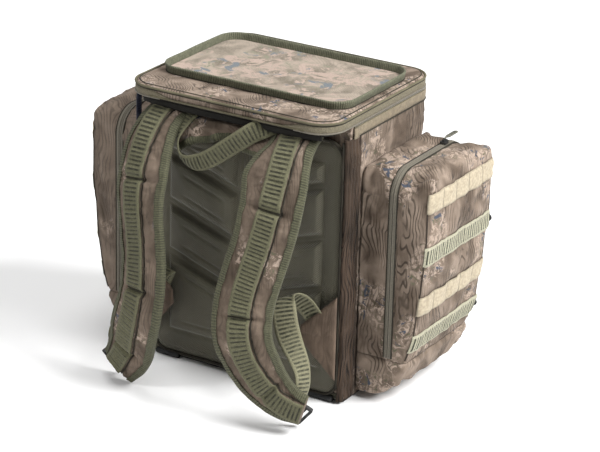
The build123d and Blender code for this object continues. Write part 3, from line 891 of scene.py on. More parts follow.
# the sewn hinge: a strip coloured near-black as painted shade, whose middle bulges outwards between the
# flange and the lid
HINGE_HEIGHTS = [369, 370.5, 372, 373.3, 374.6, 376]
u, v = np.meshgrid(np.linspace(-ZIP_END, ZIP_END, 60), HINGE_HEIGHTS)
top = np.stack([u, plan_low[1] + 6.4 - 0.8 * np.cos((v - 372.5) / 3.5), v], -1)
hinge = sheet_mesh("hinge_cloth", top, top + np.array([0, 1.0, 0]), PAINTED_SHADE)
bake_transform(hinge)

# tray: printed mat and a raised rim of ribbed webbing
mat_top = node_box("tray_floor")[1][2]
rim_low, rim_high = node_box("tray_rim")
TRAY_R, RIM_FOOT = 27.0, 388.9
# the rim's section: how far out it stands, and how high above its foot, up the inside and down the outside
RIM_SECTION = np.array([(-1.6, 0), (-1.0, 3), (-0.5, 6), (0.2, 9), (0.9, 10.6), (1.9, 11.3), (3.0, 11.0),
                        (3.6, 9.8), (3.3, 8), (2.5, 5), (1.8, 2.4), (1.2, 0)])


def tray_loop(grow, z, counts=(120, 80, 14)):
    return level_loop(rim_low[:2], rim_high[:2], [max(TRAY_R + grow, 1.5)] * 4, grow, z, counts)


mat_loops = [tray_loop(-1.5, RIM_FOOT + 0.3)[0]]
for inset in np.linspace(2, 82, 34):
    points = tray_loop(-inset, mat_top)[0]
    dents = noise(points, 34, 41) * 0.7 + noise(points, 13, 42) * 0.35
    points[:, 2] += dents * step_between(4, 14, inset) - 0.2
    mat_loops.append(points)
finish_piece(loft("tray_mat", mat_loops, CAMO_TRAY), "lid", "camo_fabric", "tray_floor")
ring, ring_normals = tray_loop(-2, 0, (160, 110, 20))
out, rise = RIM_SECTION.T
out = out + (noise(ring, 30, 51) * 0.7)[:, None] * rise / 11
section = np.stack([out, np.broadcast_to(rise + RIM_FOOT, out.shape)], -1)
points = ring[:, None] + ring_normals[:, None] * section[..., :1] + UP * section[..., 1:]
points, around = np.concatenate([points, points[:1]]), lengths(np.concatenate([ring, ring[:1]]))
faces = grid_faces(len(points), len(rise), closed=True)
uv = pattern(around, np.linspace(-0.8, 0.8, len(rise)))
rim = fix_normals(add_mesh("tray_rim_webbing", points, faces, GREEN_RIM, uv))
finish_piece(rim, "lid", "green_webbing", "tray_rim")
rim_edge = ring + ring_normals * 1.3 + UP * (RIM_FOOT + 0.7)
cord("tray_rim_edge", rim_edge, 1.0, PIPE_DARK, "lid", "green_webbing", closed=True)

# ---------------------------------------------------------------- zipped pockets
WEB_HALF = 13.0
# settling cloth: its pressure, how much it shrinks (less than 0 is spare cloth), and its longest move
PRESSURE, SLACK, MOST_SWELL = 4.0, -0.045, 6.0
VOXEL, CLOTH_T = 5.0, 2.4
SIDE_SEAM, FRONT_SEAM = 62.0, 52.0
SIDE_TOP, LEFT_TOP, FRONT_TOP = 313.0, 319.0, 252.0
# how far a pocket stands out from the wall, and at what height
SIDE_REACH = [(35, 10), (41, 13), (61.5, 32), (72, 54), (73, 62), (84, 98), (92, 165), (97, 230), (97, 296),
              (95, 306), (89, SIDE_TOP)]
LEFT_REACH = [(reach * 1.06, z) for reach, z in SIDE_REACH[:-2]] + [(101, LEFT_TOP - 5), (97, LEFT_TOP)]
FRONT_REACH = [(24, 10), (30, 13), (43, 32), (47, 46), (47, 52), (52, 90), (53.7, 130), (53.7, 234),
               (47, 246), (43, FRONT_TOP)]
SIDE_ROWS = [(269.0, "tan"), (199.0, "green"), (131.0, "tan"), (78.0, "green")]
FRONT_ROWS = [(200.0, "green"), (145.0, "green"), (90.0, "green")]


class Pocket:
    """One zipped pocket: its place on the wall, and how far it stands out at each height.

    split is how far out its zip lies, and its door folds down at the height called seam."""

    def __init__(self, name, origin, across, outward, width, top, seam, split, reach, corner, rows,
                 round_top=33.0, cloth_print=CAMO):
        self.name, self.width, self.top, self.seam, self.split = name, width, top, seam, split
        self.cloth_print, self.rows, self.corner, self.round_top = cloth_print, rows, corner, round_top
        self.origin, self.across, self.outward = [np.array((*v, 0.0)) for v in (origin, across, outward)]
        self.reach_table = np.array(reach, float)

    def reach(self, z):
        return np.interp(z, self.reach_table[:, 1], self.reach_table[:, 0])

    def half_width(self, z):
        over = max(0.0, z - (self.top - self.round_top))
        return self.width / 2 - self.round_top + (self.round_top ** 2 - over ** 2) ** 0.5

    def world(self, a, u, z):
        a, u, z = [np.asarray(part, float)[..., None] for part in (a, u, z)]
        return self.origin + a * self.across + u * self.outward + z * UP

    def local(self, points):
        """Distances along the wall and outwards, and the height, of points in the frame."""
        moved = points - self.origin
        return moved @ self.across, moved @ self.outward, points[:, 2]

    def plan(self, z, counts=(26, 15, 5)):
        """The pocket's outline at one height, and which way it faces, in the frame."""
        half, reach = self.half_width(z), float(self.reach(z))
        points, normals = rounded_loop((-half, 0), (half, reach), (2, 2, self.corner, self.corner), counts)
        facing = normals[:, :1] * self.across + normals[:, 1:] * self.outward
        return self.world(points[:, 0], points[:, 1], np.full(len(points), z)), facing

    def cloth(self):
        """The whole pocket as one settled cloth volume, before it is cut along its zip and seam."""
        low = self.reach_table[0, 1]
        heights = np.concatenate([np.arange(low, self.top - 6, 5), [self.top - 5, self.top - 2, self.top]])
        loops = [self.plan(z)[0] for z in heights]
        volume = remesh(loft(f"{self.name}_volume", loops, [self.cloth_print, LINING]), VOXEL)
        settle(volume, self.hold(coordinates(volume)), PRESSURE, SLACK, MOST_SWELL)
        subdivide(volume)
        points, normals = coordinates(volume), point_normals(volume)
        a, u, z = self.local(points)
        free = step_between(2, 8, u) * step_between(3, 7, np.abs(u - self.split))
        creases = ridges(points * (1, 1, 0.55), 30, 61) ** 5 * 1.5 + noise(points, 13, 62) * 0.45 - 0.35
        creases += noise(points * (1, 1, 0.5), 7, 63) * 0.22
        puff = 2.2 * step_between(self.seam, self.seam - 8, z) * step_between(low, low + 22, z)
        groove = 1.6 * near(z, self.seam, 1.8)
        for depth, drop in ((3.2, 14), (2.6, 33)):
            groove += (depth * near(np.abs(a), self.width / 2 - 3, 3.5) * near(z, self.top - drop, 3.0)
                       * near(u, self.reach(z) - 2, 6))
        points = points + normals * ((creases + puff) * free - groove)[:, None]
        place(volume, self.squared(points))
        return volume

    def hold(self, points):
        """How firmly the cloth is held: at the wall, the zip, the seams, the corners and the rows."""
        a, u, z = self.local(points)
        low, reach = self.reach_table[0, 1], self.reach(z)
        corner = np.abs(np.abs(a) - self.width / 2) + np.abs(u - reach)
        holds = [step_between(6, 2, u), 0.95 * step_between(7, 3, np.abs(u - self.split)),
                 0.9 * step_between(6, 2, np.abs(z - self.seam)), step_between(low + 8, low + 3, z),
                 0.95 * step_between(12, 7, corner)]
        for row, kind in self.rows:
            on_row = step_between(WEB_HALF + 3, WEB_HALF - 3, np.abs(z - row - WEB_HALF))
            holds.append(0.45 * on_row * step_between(10, 3, np.abs(u - reach)))
        return np.maximum.reduce(holds)

    def squared(self, points):
        """Draws the rounded top corners out square at the wall, and part way on the outer face."""
        a, u, z = self.local(points)
        x, y = np.abs(a) - (self.width / 2 - self.round_top), z - (self.top - self.round_top)
        reach = self.reach(np.minimum(z, self.top))
        weight = np.maximum(step_between(self.split, 4, u), 0.6 * step_between(reach - 28, reach - 8, u))
        angle = np.arctan2(np.maximum(y, 1e-6), np.maximum(x, 1e-6))
        power = 2 + 4 * weight
        stretch = (np.cos(angle) ** power + np.sin(angle) ** power) ** (-1 / power) - 1
        stretch = np.where((x > 0) & (y > 0), stretch, 0.0)
        sideways, upwards = np.sign(a) * np.maximum(x, 0) * stretch, np.maximum(y, 0) * stretch
        return points + sideways[:, None] * self.across + upwards[:, None] * UP

    def zip_path(self, step=2.0):
        """The line of the zip against the wall: up one side, over the top and down the other."""
        foot, shoulder, radius = self.seam + 4, self.top - self.round_top, self.round_top
        half = self.width / 2
        turn = np.linspace(0, pi / 2, 16)
        left = [(-half, z) for z in np.arange(foot, shoulder, step)]
        arc = [(-half + radius - radius * cos(t), shoulder + radius * sin(t)) for t in turn]
        bar = [(a, self.top) for a in np.arange(-half + radius + step, half - radius - step / 2, step)]
        rest = [(-a, z) for a, z in (left + arc)[::-1]]
        line = np.array(left + arc + bar + rest)
        path = self.world(line[:, 0], np.zeros(len(line)), line[:, 1])
        normals = np.cross(tangents(path), self.outward)
        return path, -normals if normals[len(left) // 2] @ self.across > 0 else normals


wall_x, wall_y = node_box("right_wall")[1][0], node_box("front_wall")[1][1]
mid_y = sum(corner[1] for corner in node_box("right_pocket_back")) / 2
pockets = [
    Pocket("right", (wall_x, mid_y), (0, 1), (1, 0), 169.0, SIDE_TOP, SIDE_SEAM, 48.0, SIDE_REACH, 5.0,
           SIDE_ROWS),
    Pocket("left", (-wall_x, mid_y - 9), (0, 1), (-1, 0), 187.0, LEFT_TOP, SIDE_SEAM, 57.0, LEFT_REACH, 5.0,
           SIDE_ROWS, cloth_print=CAMO_PLAIN),
    Pocket("front", (0, wall_y), (1, 0), (0, 1), 210.0, FRONT_TOP, FRONT_SEAM, 22.0, FRONT_REACH, 13.0,
           FRONT_ROWS, round_top=25.0),
]


def cap_open(obj):
    """Closes a mesh's open edges with flat faces in its second material."""
    work = bmesh.new()
    work.from_mesh(obj.data)
    filled = bmesh.ops.holes_fill(work, edges=[e for e in work.edges if e.is_boundary], sides=0)
    for face in filled["faces"]:
        face.material_index, face.smooth = 1, False
    work.to_mesh(obj.data)
    work.free()
    return obj


def surface_of(obj):
    """A tree for finding an object's surface by ray, in millimetres."""
    mesh = obj.data
    points = [Vector(v.co) / MM for v in mesh.vertices]
    return BVHTree.FromPolygons(points, [tuple(p.vertices) for p in mesh.polygons])


def laid_on(tree, points, normals, reach=22.0):
    """How far the surface under a grid of points stands off them, along their normals."""
    depth = np.zeros(points.shape[:2])
    for index in np.ndindex(depth.shape):
        normal = Vector(normals[index])
        hit = tree.ray_cast(Vector(points[index]) + normal * reach, -normal, 2 * reach)
        depth[index] = reach - hit[3] if hit[0] is not None else 0.0
    smooth = depth.copy()
    for _ in range(3):
        padded = np.pad(smooth, ((1, 1), (1, 1)), mode="edge")
        smooth = (padded[:-2, 1:-1] + padded[2:, 1:-1] + padded[1:-1, :-2] + padded[1:-1, 2:]) / 4
    return np.maximum(depth, smooth)


def row_grid(pocket, low, share):
    """Points and facings across a pocket's outer face, a millimetre apart, for one row of webbing.

    The left pocket's rows turn less far round its corners than the others' do."""
    fine, turned = (60, 40, 10), 0.85 if pocket.name == "left" else 0.4
    kept = pocket.plan(low + WEB_HALF, fine)[1] @ pocket.outward > turned
    grid, facing = [], []
    for s in share:
        spots, normals = [part[kept] for part in pocket.plan(low + WEB_HALF + s * WEB_HALF, fine)]
        run = lengths(spots)
        even = np.linspace(0, run[-1], len(grid[0]) if grid else int(run[-1]))
        grid.append(np.stack([np.interp(even, run, part) for part in spots.T], 1))
        facing.append(unit(np.stack([np.interp(even, run, part) for part in normals.T], 1)))
    return np.stack(grid, 1), np.stack(facing, 1)


def webbing_row(pocket, tree, low, kind, index):
    """One sewn row across a pocket's door, following the settled cloth."""
    name, door, share = f"{pocket.name}_row_{index}", f"{pocket.name}_door", np.linspace(-1, 1, 9)
    grid, facing = row_grid(pocket, low, share)
    along = lengths(grid[:, len(share) // 2])
    sewn = laid_on(tree, grid, facing)
    edge = 1 - 0.75 * np.abs(share) ** 10
    if kind == "tan":
        from_middle = along - along[-1] / 2
        cells = np.abs(np.sin(pi * from_middle / TACK + pi / 2)) ** 0.7
        lift = (0.3 + 2.0 * cells)[:, None] * (1 - 0.25 * np.abs(share[None]) ** 4)
        material, thickness, phase = TAN, 1.2, from_middle + TACK * 20.5
    else:
        ribs = 0.5 * np.cos(2 * pi * along / RIB)[:, None] * step_between(0.7, 0.5, np.abs(share))[None]
        lift = 0.6 + ribs + 0.5 * noise(grid, 20, 70 + index)
        material, thickness, phase = GREEN_PALE, 1.5, along + 1000.0
    lift = lift * (step_between(-1, 4, along) * step_between(along[-1] + 1, along[-1] - 4, along))[:, None]
    top = grid + facing * (sewn + 0.3 + lift + thickness * edge[None])[..., None]
    under = grid + facing * (sewn + 0.2 + lift * 0.9)[..., None]
    obj = sheet_mesh(name, top, under, material, pattern(phase, share))
    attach(obj, door)
    if kind == "green" and pocket.name != "front":
        turn = np.linspace(0, pi, 12)[:, None]
        end = max(top[0, 4], top[-1, 4], key=lambda spot: spot[1])
        loop = end + pocket.outward * 5 * np.sin(turn) + UP * 4 * np.cos(turn) - pocket.across * 2
        cord(f"{name}_loop", loop, 1.5, PLASTIC, door, "zip_tape", hint=(0.3, 1, 0))
    return obj


# how far each line on a zip's tape is from the zip, how far it stands up, and how thick it is
ZIP_LINES = (("teeth", 1.3, 1.3, 1.05, ZIP), ("seam", 5.6, 0.6, 1.15, PIPE_DARK))
for pocket in pockets:
    name, door_body = pocket.name, f"{pocket.name}_door"
    whole = pocket.cloth()
    inside = pocket.world(0, pocket.split, 0)
    toe = cap_open(cut(copy_of(whole, f"{name}_pocket_toe_cloth"), (0, 0, pocket.seam - 0.15), (0, 0, -1)))
    finish_piece(toe, "pack", "camo_fabric", f"{name}_pocket_toe", fill=0.6)
    upper = cap_open(cut(whole, (0, 0, pocket.seam + 0.2), (0, 0, 1)))
    rear = cut(copy_of(upper, f"{name}_pocket_back_cloth"), inside - pocket.outward * 0.15, -pocket.outward)
    finish_piece(thicken(rear, CLOTH_T), "pack", "camo_fabric", f"{name}_pocket_back", fill=0.5)
    upper.name = f"{name}_door_cloth"
    door = thicken(cut(upper, inside + pocket.outward * 0.15, pocket.outward), CLOTH_T)
    finish_piece(door, door_body, "camo_fabric", f"{name}_pocket_door", fill=0.5)
    tree = surface_of(door)
    inset = 0.3 * pocket.corner
    z = np.arange(pocket.seam + 5, pocket.top - pocket.round_top, 3.0)
    for hand, corner_name in ((-1, "near"), (1, "far")):
        edge = pocket.world(hand * (pocket.width / 2 - inset), pocket.reach(z) - inset, z)[:, None]
        facing = np.broadcast_to(unit(hand * pocket.across + pocket.outward), edge.shape)
        edge = (edge + facing * (laid_on(tree, edge, facing) + 0.3)[..., None])[:, 0]
        cord(f"{name}_door_{corner_name}_seam", edge, 1.0, PIPE_BROWN, door_body, "camo_fabric",
             hint=(0.3, 0.4, 0))
    made = [webbing_row(pocket, tree, low, kind, index) for index, (low, kind) in enumerate(pocket.rows)]
    if name == "front":
        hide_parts("front_webbing")
    else:
        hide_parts(f"{name}_tan_webbing")
        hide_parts(f"{name}_green_webbing")
    path, normals = pocket.zip_path()
    for body, sign, node in (("pack", -1, f"{name}_pocket_zip"), (door_body, 1, f"{name}_door_zip")):
        near_edge, far_edge = sorted((pocket.split + sign * 0.25, pocket.split + sign * 4.8))
        tape = band(f"{node}_cloth", path, normals, near_edge, far_edge, 0.5, 1.3, ZIP, rise=pocket.outward)
        finish_piece(tape, body, "zip_tape", node)
        for part, offset, lift, radius, paint in ZIP_LINES:
            line = path + pocket.outward * (pocket.split + sign * offset) + normals * lift
            cord(f"{node}_{part}", line, radius, paint, body, "zip_tape", hint=pocket.outward)

# ---------------------------------------------------------------- moulded back pad
POD_IN, POD_OUT, POD_LOW, POD_HIGH = 12.0, 112.0, 44.0, 318.0
CHANNELS, CHANNEL, RISE = (112.0, 181.0, 250.0), 12.0, 34.0
RELIEF, PAD_R = 5.0, 22.0


def polygon_distance(x, z, corners):
    """Distance from each point to a convex outline, negative inside it."""
    inside = np.full(x.shape, -1e9)
    for (ax, az), (bx, bz) in zip(corners, corners[1:] + corners[:1]):
        length = np.hypot(bx - ax, bz - az)
        inside = np.maximum(inside, ((x - ax) * (bz - az) - (z - az) * (bx - ax)) / length)
    return inside


z, share = np.meshgrid(np.linspace(pad_low[2], pad_high[2], 200), np.linspace(-1, 1, 170), indexing="ij")
from_end = np.minimum(z - pad_low[2], pad_high[2] - z)
half = pad_high[0] - PAD_R + np.sqrt(np.maximum(PAD_R ** 2 - np.maximum(PAD_R - from_end, 0) ** 2, 0))
x = share * half
aside, flat = np.abs(x), np.stack([x, z * 0, z], -1)
# slanted pods, one above the other on each side: the lowest has a level foot, and the highest a level top
raised = np.full(x.shape, 1e3)
floors, roofs = [POD_LOW] + [height + CHANNEL for height in CHANNELS], list(CHANNELS) + [POD_HIGH]
for floor_z, roof_z in zip(floors, roofs):
    outer_floor = floor_z + (RISE if floor_z > POD_LOW else 0)
    outer_roof = roof_z + (RISE if roof_z < POD_HIGH else 0)
    pod = [(POD_IN, floor_z), (POD_OUT, outer_floor), (POD_OUT, outer_roof), (POD_IN, roof_z)]
    raised = np.minimum(raised, polygon_distance(aside, z, pod))
# the whole pad swells, each pod stands out and is domed with a groove inside its edge, and two narrow
# grooves run up the spine
middle_z = (POD_LOW + POD_HIGH) / 2
swell = 1.6 * (1 - (x / half.max()) ** 2) + 1.2 * np.cos((z - middle_z) / (POD_HIGH - POD_LOW) * pi)
height = swell * 0.6 + RELIEF * step_between(2.5, -5, raised)
height += 3.4 * (1 - np.exp(np.minimum(raised, 0) / 13)) - 1.2 * near(raised, 2, 3.2)
height -= 1.5 * near(raised, -14, 1.7) * step_between(22, 34, aside) * step_between(95, 80, aside)
spine = step_between(POD_LOW - 12, POD_LOW, z) * step_between(POD_HIGH + 12, POD_HIGH, z)
height -= 2.2 * near(aside, 3.2, 1.6) * spine
height += noise(flat, 42, 81) * 0.7 + noise(flat, 16, 82) * 0.2
edge_roll = step_between(0, 9, np.minimum(half - aside, from_end))
top = np.stack([x, PAD_FACE - height * edge_roll + 3.0 * (1 - edge_roll), z], -1)
under = np.stack([x, np.full(x.shape, back_y - 0.6), z], -1)
finish_piece(sheet_mesh("moulded_back_pad", top, under, EVA), "pack", "moulded_eva", "back_pad", fill=0.9)
loop = rounded_loop(pad_low[[0, 2]], pad_high[[0, 2]], (PAD_R,) * 4, (70, 80, 12))[0]
edge_line = np.column_stack([loop[:, 0], np.full(len(loop), PAD_FACE + 1.4), loop[:, 1]])
cord("pad_edge_cord", edge_line, 1.9, PIPE_DARK, "pack", "zip_tape", closed=True, hint=(0, 1, 0))

# the body's lower edge below the pad
low_band = np.array([(x, back_y + 0.2, 0) for x in np.linspace(-wall_x + 1, wall_x - 1, 80)])
hem = band("base_hem", low_band, facing_out(low_band, (0, -1, 0)), 3, 12, 0.8, 2.0, EVA, bulge=1.0)
finish_piece(hem, "pack", "camo_fabric")

# ---------------------------------------------------------------- shoulder straps
# stations of each band: where its middle is, how wide it is, and which way its width lies
STRAP = [((86, -80, 357.5), 62, 0), ((91, -96, 356), 60, 2), ((95, -119, 343), 62, 5),
         ((97, -140, 315), 72, 9), ((96, -156, 280), 76, 12), ((87, -168, 230), 77, 15),
         ((78, -176, 190), 77, 15), ((74, -184, 150), 77, 15), ((78, -187, 118), 77, 14),
         ((89, -181, 88), 75, 13)]
TIPS = {1: [((103, -176, 66), 67, 12), ((127, -170, 45), 55, 12), ((153, -164, 35), 40, 12)],
        -1: [((98, -173, 64), 72, 12), ((111, -165, 41), 66, 12), ((126, -158, 22), 56, 12)]}
UPRIGHT = (-0.2, -0.15, 1)
HANDLE = [((-60, -97, 362), 25, (1, 0, 0)), ((-65, -112, 346), 24, (0.9, -0.5, 0)),
          ((-61, -124, 327), 22, (0.5, -0.86, 0.1)), ((-48, -133, 313), 22, (0.3, -0.7, 0.7)),
          ((-24, -136, 314), 23, UPRIGHT), ((8, -131, 334), 24, UPRIGHT), ((32, -122, 353), 25, UPRIGHT),
          ((49, -110, 364), 25, (-0.6, 0.1, 0.8)), ((58, -97, 363), 25, (-1, 0.3, 0.15)),
          ((61, -86, 361), 25, (-1, 0.3, 0))]
BIND_W, BIND_T = 8.0, 1.5
STRAP_WEB, WEB_START = 28.0, 12.0
EDGE_HALF, FRONT_DOME, BACK_DOME = 2.2, 7.0, 3.8
TACK_HEIGHTS = (282, 148, 56)
STEP, LOOSE_STEP = 1.25, 1.2


class Run:
    """A band's smooth run through listed stations: its centre, its width, and which way its width
    lies, as a turn about Z or as a direction."""

    def __init__(self, stations, side, step=STEP):
        places = np.array([(side * x, y, z) for (x, y, z), wide, turn in stations], float)
        knots = lengths(places)
        fine = np.linspace(0, knots[-1], 60 * len(places))
        dense = cubic(knots, places, fine)
        run = lengths(dense)
        self.along = np.linspace(0, run[-1], int(run[-1] / step) + 1)
        at = np.interp(self.along, run, fine)
        self.centre = cubic(knots, places, at)
        self.width = self.smoothed(np.interp(at, knots, [wide for spot, wide, turn in stations]))
        ways = [(cos(radians(side * turn)), sin(radians(side * turn)), 0) if np.isscalar(turn) else turn
                for spot, wide, turn in stations]
        hint = np.stack([self.smoothed(np.interp(at, knots, way)) for way in np.array(ways, float).T], 1)
        self.tangent = tangents(self.centre)
        self.across = unit(hint - self.tangent * (hint * self.tangent).sum(1, keepdims=True))
        self.normal = np.cross(self.tangent, self.across)

    @staticmethod
    def smoothed(values):
        return np.convolve(np.pad(values, 7, mode="edge"), np.ones(15) / 15, "valid")

    def at(self, c, lift):
        """Points at distances across and out from the run, one row for each of its steps."""
        across, normal = self.across[:, None] * c[..., None], self.normal[:, None] * lift[..., None]
        return self.centre[:, None] + across + normal


def hang(obj):
    """Bakes the place of a strap's piece into its mesh."""
    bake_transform(obj)


def there_and_back(c, above, below):
    """A closed section: out along its upper face and back along its lower one."""
    return np.concatenate([np.stack([c, above], -1), np.stack([c[:, ::-1], below[:, ::-1]], -1)], axis=1)


class Strap:
    """One shoulder strap: a thin pad between bound edges, with webbing sewn down it."""

    def __init__(self, side, label):
        self.label, self.run = label, Run(STRAP + TIPS[side], side)
        run = self.run
        z, y = run.centre[:, 2], run.centre[:, 1]
        flare = 13 * near(z, 322, 26) * step_between(-100, -125, y) if side > 0 else 0 * z
        flare = flare + 4 * near(z, 285, 30)
        self.half = run.width / 2 + flare / 2
        self.middle = -side * flare / 2
        self.tacks = [run.along[np.argmin(np.abs(z - height) + 1e3 * (y > -110))] for height in TACK_HEIGHTS]
        self.pinch = sum(near(run.along, spot, 4.0) for spot in self.tacks)
        self.web_middle = -2.0 if side > 0 else -5.0
        self.edge = np.linspace(-1, 1, 37)
        self.c = self.middle[:, None] + self.edge * (self.half[:, None] - 2.0)
        self.upper, self.lower = self.surface()

    def surface(self):
        """How far the pad's two faces stand from the run."""
        run, crown = self.run, 1 - np.abs(self.edge[None]) ** 2.4
        spots = run.at(self.c, 0 * self.c)
        flat = np.stack([self.c, np.broadcast_to(run.along[:, None], self.c.shape), 0 * self.c], -1)
        gathers = ridges(flat * (0.5, 1, 1) + flat[..., :1] * 0.3, 7.5, 97) ** 3
        uneven = 1 + 0.16 * noise(spots, 24, 91) + 0.1 * noise(spots, 10, 92)
        upper = EDGE_HALF + FRONT_DOME * crown * uneven
        upper *= 1 - 0.6 * self.pinch[:, None] * crown
        upper += crown * (1.6 * gathers + 0.6 * noise(flat, 4.5, 98) - 0.6)
        upper -= 2.4 * near(self.c, self.web_middle + STRAP_WEB / 2 + 2.2, 1.9) * crown
        return upper, -(EDGE_HALF + BACK_DOME * crown) * np.ones(self.c.shape)

    def height_at(self, c, face):
        return np.stack([np.interp(row, places, heights) for row, places, heights in zip(c, self.c, face)])

    def carried(self, part, section, material):
        """A piece of the strap, as a section carried along its run."""
        run = self.run
        return sweep(f"{self.label}_strap_{part}", run.centre, run.across, run.normal, section, material)

    def pad(self):
        section = there_and_back(self.c, self.upper, self.lower)
        pad = self.carried("padding", section, CAMO_STRAP)
        hang(pad)
        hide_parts(f"{self.label}_strap_pad")

    def binding(self, hand, which):
        """Webbing folded round one long edge."""
        centre = self.run.centre
        wide = BIND_W + 1.1 * noise(centre, 19, 94 + hand) + 0.8 * noise(centre, 6, 95 + hand)
        bulk = 0.8 * noise(centre, 9, 96 + hand) + 0.5 * noise(centre, 4.5, 97 + hand)
        inset = np.array([1.0, 0.75, 0.5, 0.25, 0.08, 0.0])
        c = self.middle[:, None] + hand * (self.half[:, None] - inset * wide[:, None])
        above = np.maximum(self.height_at(c, self.upper), 2.6) + BIND_T + bulk[:, None]
        above[:, -1] -= 1.8
        above[:, -2] -= 0.4
        below = np.minimum(self.height_at(c, self.lower), -2.6) - BIND_T
        below[:, -1] += 1.6
        outside = there_and_back(c, above, below)
        inside = outside.copy()
        inside[..., 0] -= hand * 1.3 * (np.abs(outside[..., 1]) < 3.4)
        inside[..., 1] -= np.sign(outside[..., 1]) * BIND_T
        ring = np.concatenate([outside, inside[:, ::-1]], 1)
        hang(self.carried(f"{which}_binding", ring, BINDING))

    def webbing(self):
        """The webbing, a dark cord that paints the shade in the gap beside its raised edge, and the rows of
        stitching across it.
        """
        run, first, name = self.run, int(WEB_START / STEP), f"{self.label}_strap"
        share = np.linspace(-1, 1, 15)
        c = np.broadcast_to(self.web_middle + share * STRAP_WEB / 2, (len(run.along), len(share)))
        under = self.height_at(c, self.upper)
        under = under.mean(1, keepdims=True) * 0.55 + under * 0.45 + 0.9 * (1 - self.pinch[:, None])
        swayed = run.along + 0.8 * noise(run.centre, 12, 99)
        ribs = 0.5 * np.cos(2 * pi * swayed[:, None] / RIB) * step_between(0.72, 0.55, np.abs(share))[None]
        face = under + 1.9 + ribs
        web = sheet_mesh(f"{name}_ribbed_webbing", run.at(c, face)[first:], run.at(c, under)[first:], GREEN,
                         pattern(swayed, share)[first:])
        hang(web)
        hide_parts(f"{name}_webbing")
        # the dark cord beside the webbing's raised edge is painted shade for the gap under that edge
        c_shade_line = np.full((len(run.along), 1), self.web_middle + STRAP_WEB / 2 + 1.6)
        line = run.at(c_shade_line, self.height_at(c_shade_line, self.upper) + 0.5)[first:, 0]
        seam = piping(f"{name}_seam", line, 1.0, PIPE_DARK, hint=(1, 0, 0))
        hang(seam)
        for number, spot in enumerate(self.tacks[:2]):
            i = int(spot / STEP)
            reach = self.web_middle + np.linspace(-0.52, 0.54, 16)[:, None] * STRAP_WEB
            normal = run.normal[i]
            bar = run.centre[i] + run.across[i] * reach + normal * (face[i].mean() + 0.1)
            cord(f"{name}_tack_{number}", bar, 1.0, PIPE_DARK, name, "green_webbing", hint=tuple(normal))


for side, label in SIDES:
    strap = Strap(side, label)
    strap.pad()
    strap.binding(1, "outer" if side > 0 else "inner")
    strap.binding(-1, "inner" if side > 0 else "outer")
    strap.webbing()


# ---------------------------------------------------------------- handle, yoke, wings and adjusters
def flat_webbing(name, run, thickness, material, node, rib):
    """A loose band of ribbed webbing along a run."""
    share = np.linspace(-1, 1, 11)
    ribs = rib * np.cos(2 * pi * run.along[:, None] / RIB) * step_between(0.75, 0.55, np.abs(share))[None]
    edge_round = 1 - 0.6 * np.abs(share[None]) ** 12
    c = share[None] * run.width[:, None] / 2
    bow = 1.6 * (1 - share[None] ** 2) + 0.5 * noise(run.centre, 14, 120)[:, None]
    half = thickness / 2 * edge_round + ribs
    obj = sheet_mesh(name, run.at(c, bow + half), run.at(c, bow - half), material, pattern(run.along, share))
    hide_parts(node)
    return obj


grab_handle = flat_webbing("grab_handle_webbing", Run(HANDLE, 1, LOOSE_STEP), 2.2, GREEN, "grab_handle",
                           0.35)
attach(grab_handle, "handle")

# yoke: a gathered panel between the straps, its lower edge bound and hollowed
YOKE_TOP, YOKE_FOOT, YOKE_T = 54, 66, 5.0
# the middle of the yoke, from the lid's hinge down over the straps' tops
YOKE_LINE = [(0, -60, 361.5), (0, -80, 361), (0, -96, 358), (0, -107, 348), (0, -111, 335), (0, -110, 318)]
u, v = np.meshgrid(np.linspace(-1, 1, 110), np.linspace(0, 1, 70))
hang_line = smooth_path(YOKE_LINE, 0.5)
run_share = lengths(hang_line) / lengths(hang_line)[-1]
drop = v * (1 - 0.3 * (1 - u ** 2) - 0.035 * np.cos(u * 8))
x = u * (YOKE_TOP + (YOKE_FOOT - YOKE_TOP) * v)
y, z = [np.interp(drop, run_share, hang_line[:, axis]) for axis in (1, 2)]
folds = ridges(np.stack([x * 0.6 + z * 0.4, y, z], -1), 17, 101) ** 3 * 6.5 - 2.2
folds += noise(np.stack([x, y, z], -1), 9, 102) * 0.8
fold_fade = step_between(0.2, 0.6, v) * step_between(1.0, 0.75, np.abs(u))
y = y - folds * fold_fade - 7 * np.abs(u) ** 3 * step_between(0.35, 0.9, v)
top = np.stack([x, y, z], -1)
facing = unit(np.cross(np.gradient(top, axis=1), np.gradient(top, axis=0)))
if facing[-1, 55, 1] > 0:
    facing = -facing
yoke = sheet_mesh("yoke_padding", top, top - facing * YOKE_T, CAMO_STRAP)
finish_piece(yoke, "pack", "camo_fabric", "yoke_panel", fill=0.4)
hem_line = smooth_path((top[-1] - facing[-1] * 2.0)[::6], 1.5)
cord("yoke_binding", hem_line, 5.2, BINDING, "pack", "green_webbing", hint=(0, 1, 0), sides=16, flat=0.75)

# the wing's outline, inward and up from the pad's edge
WING = [(0, 150), (46, 106), (48, 88), (0, 34)]
WING_MIDDLE = np.array([17.0, 94.0])
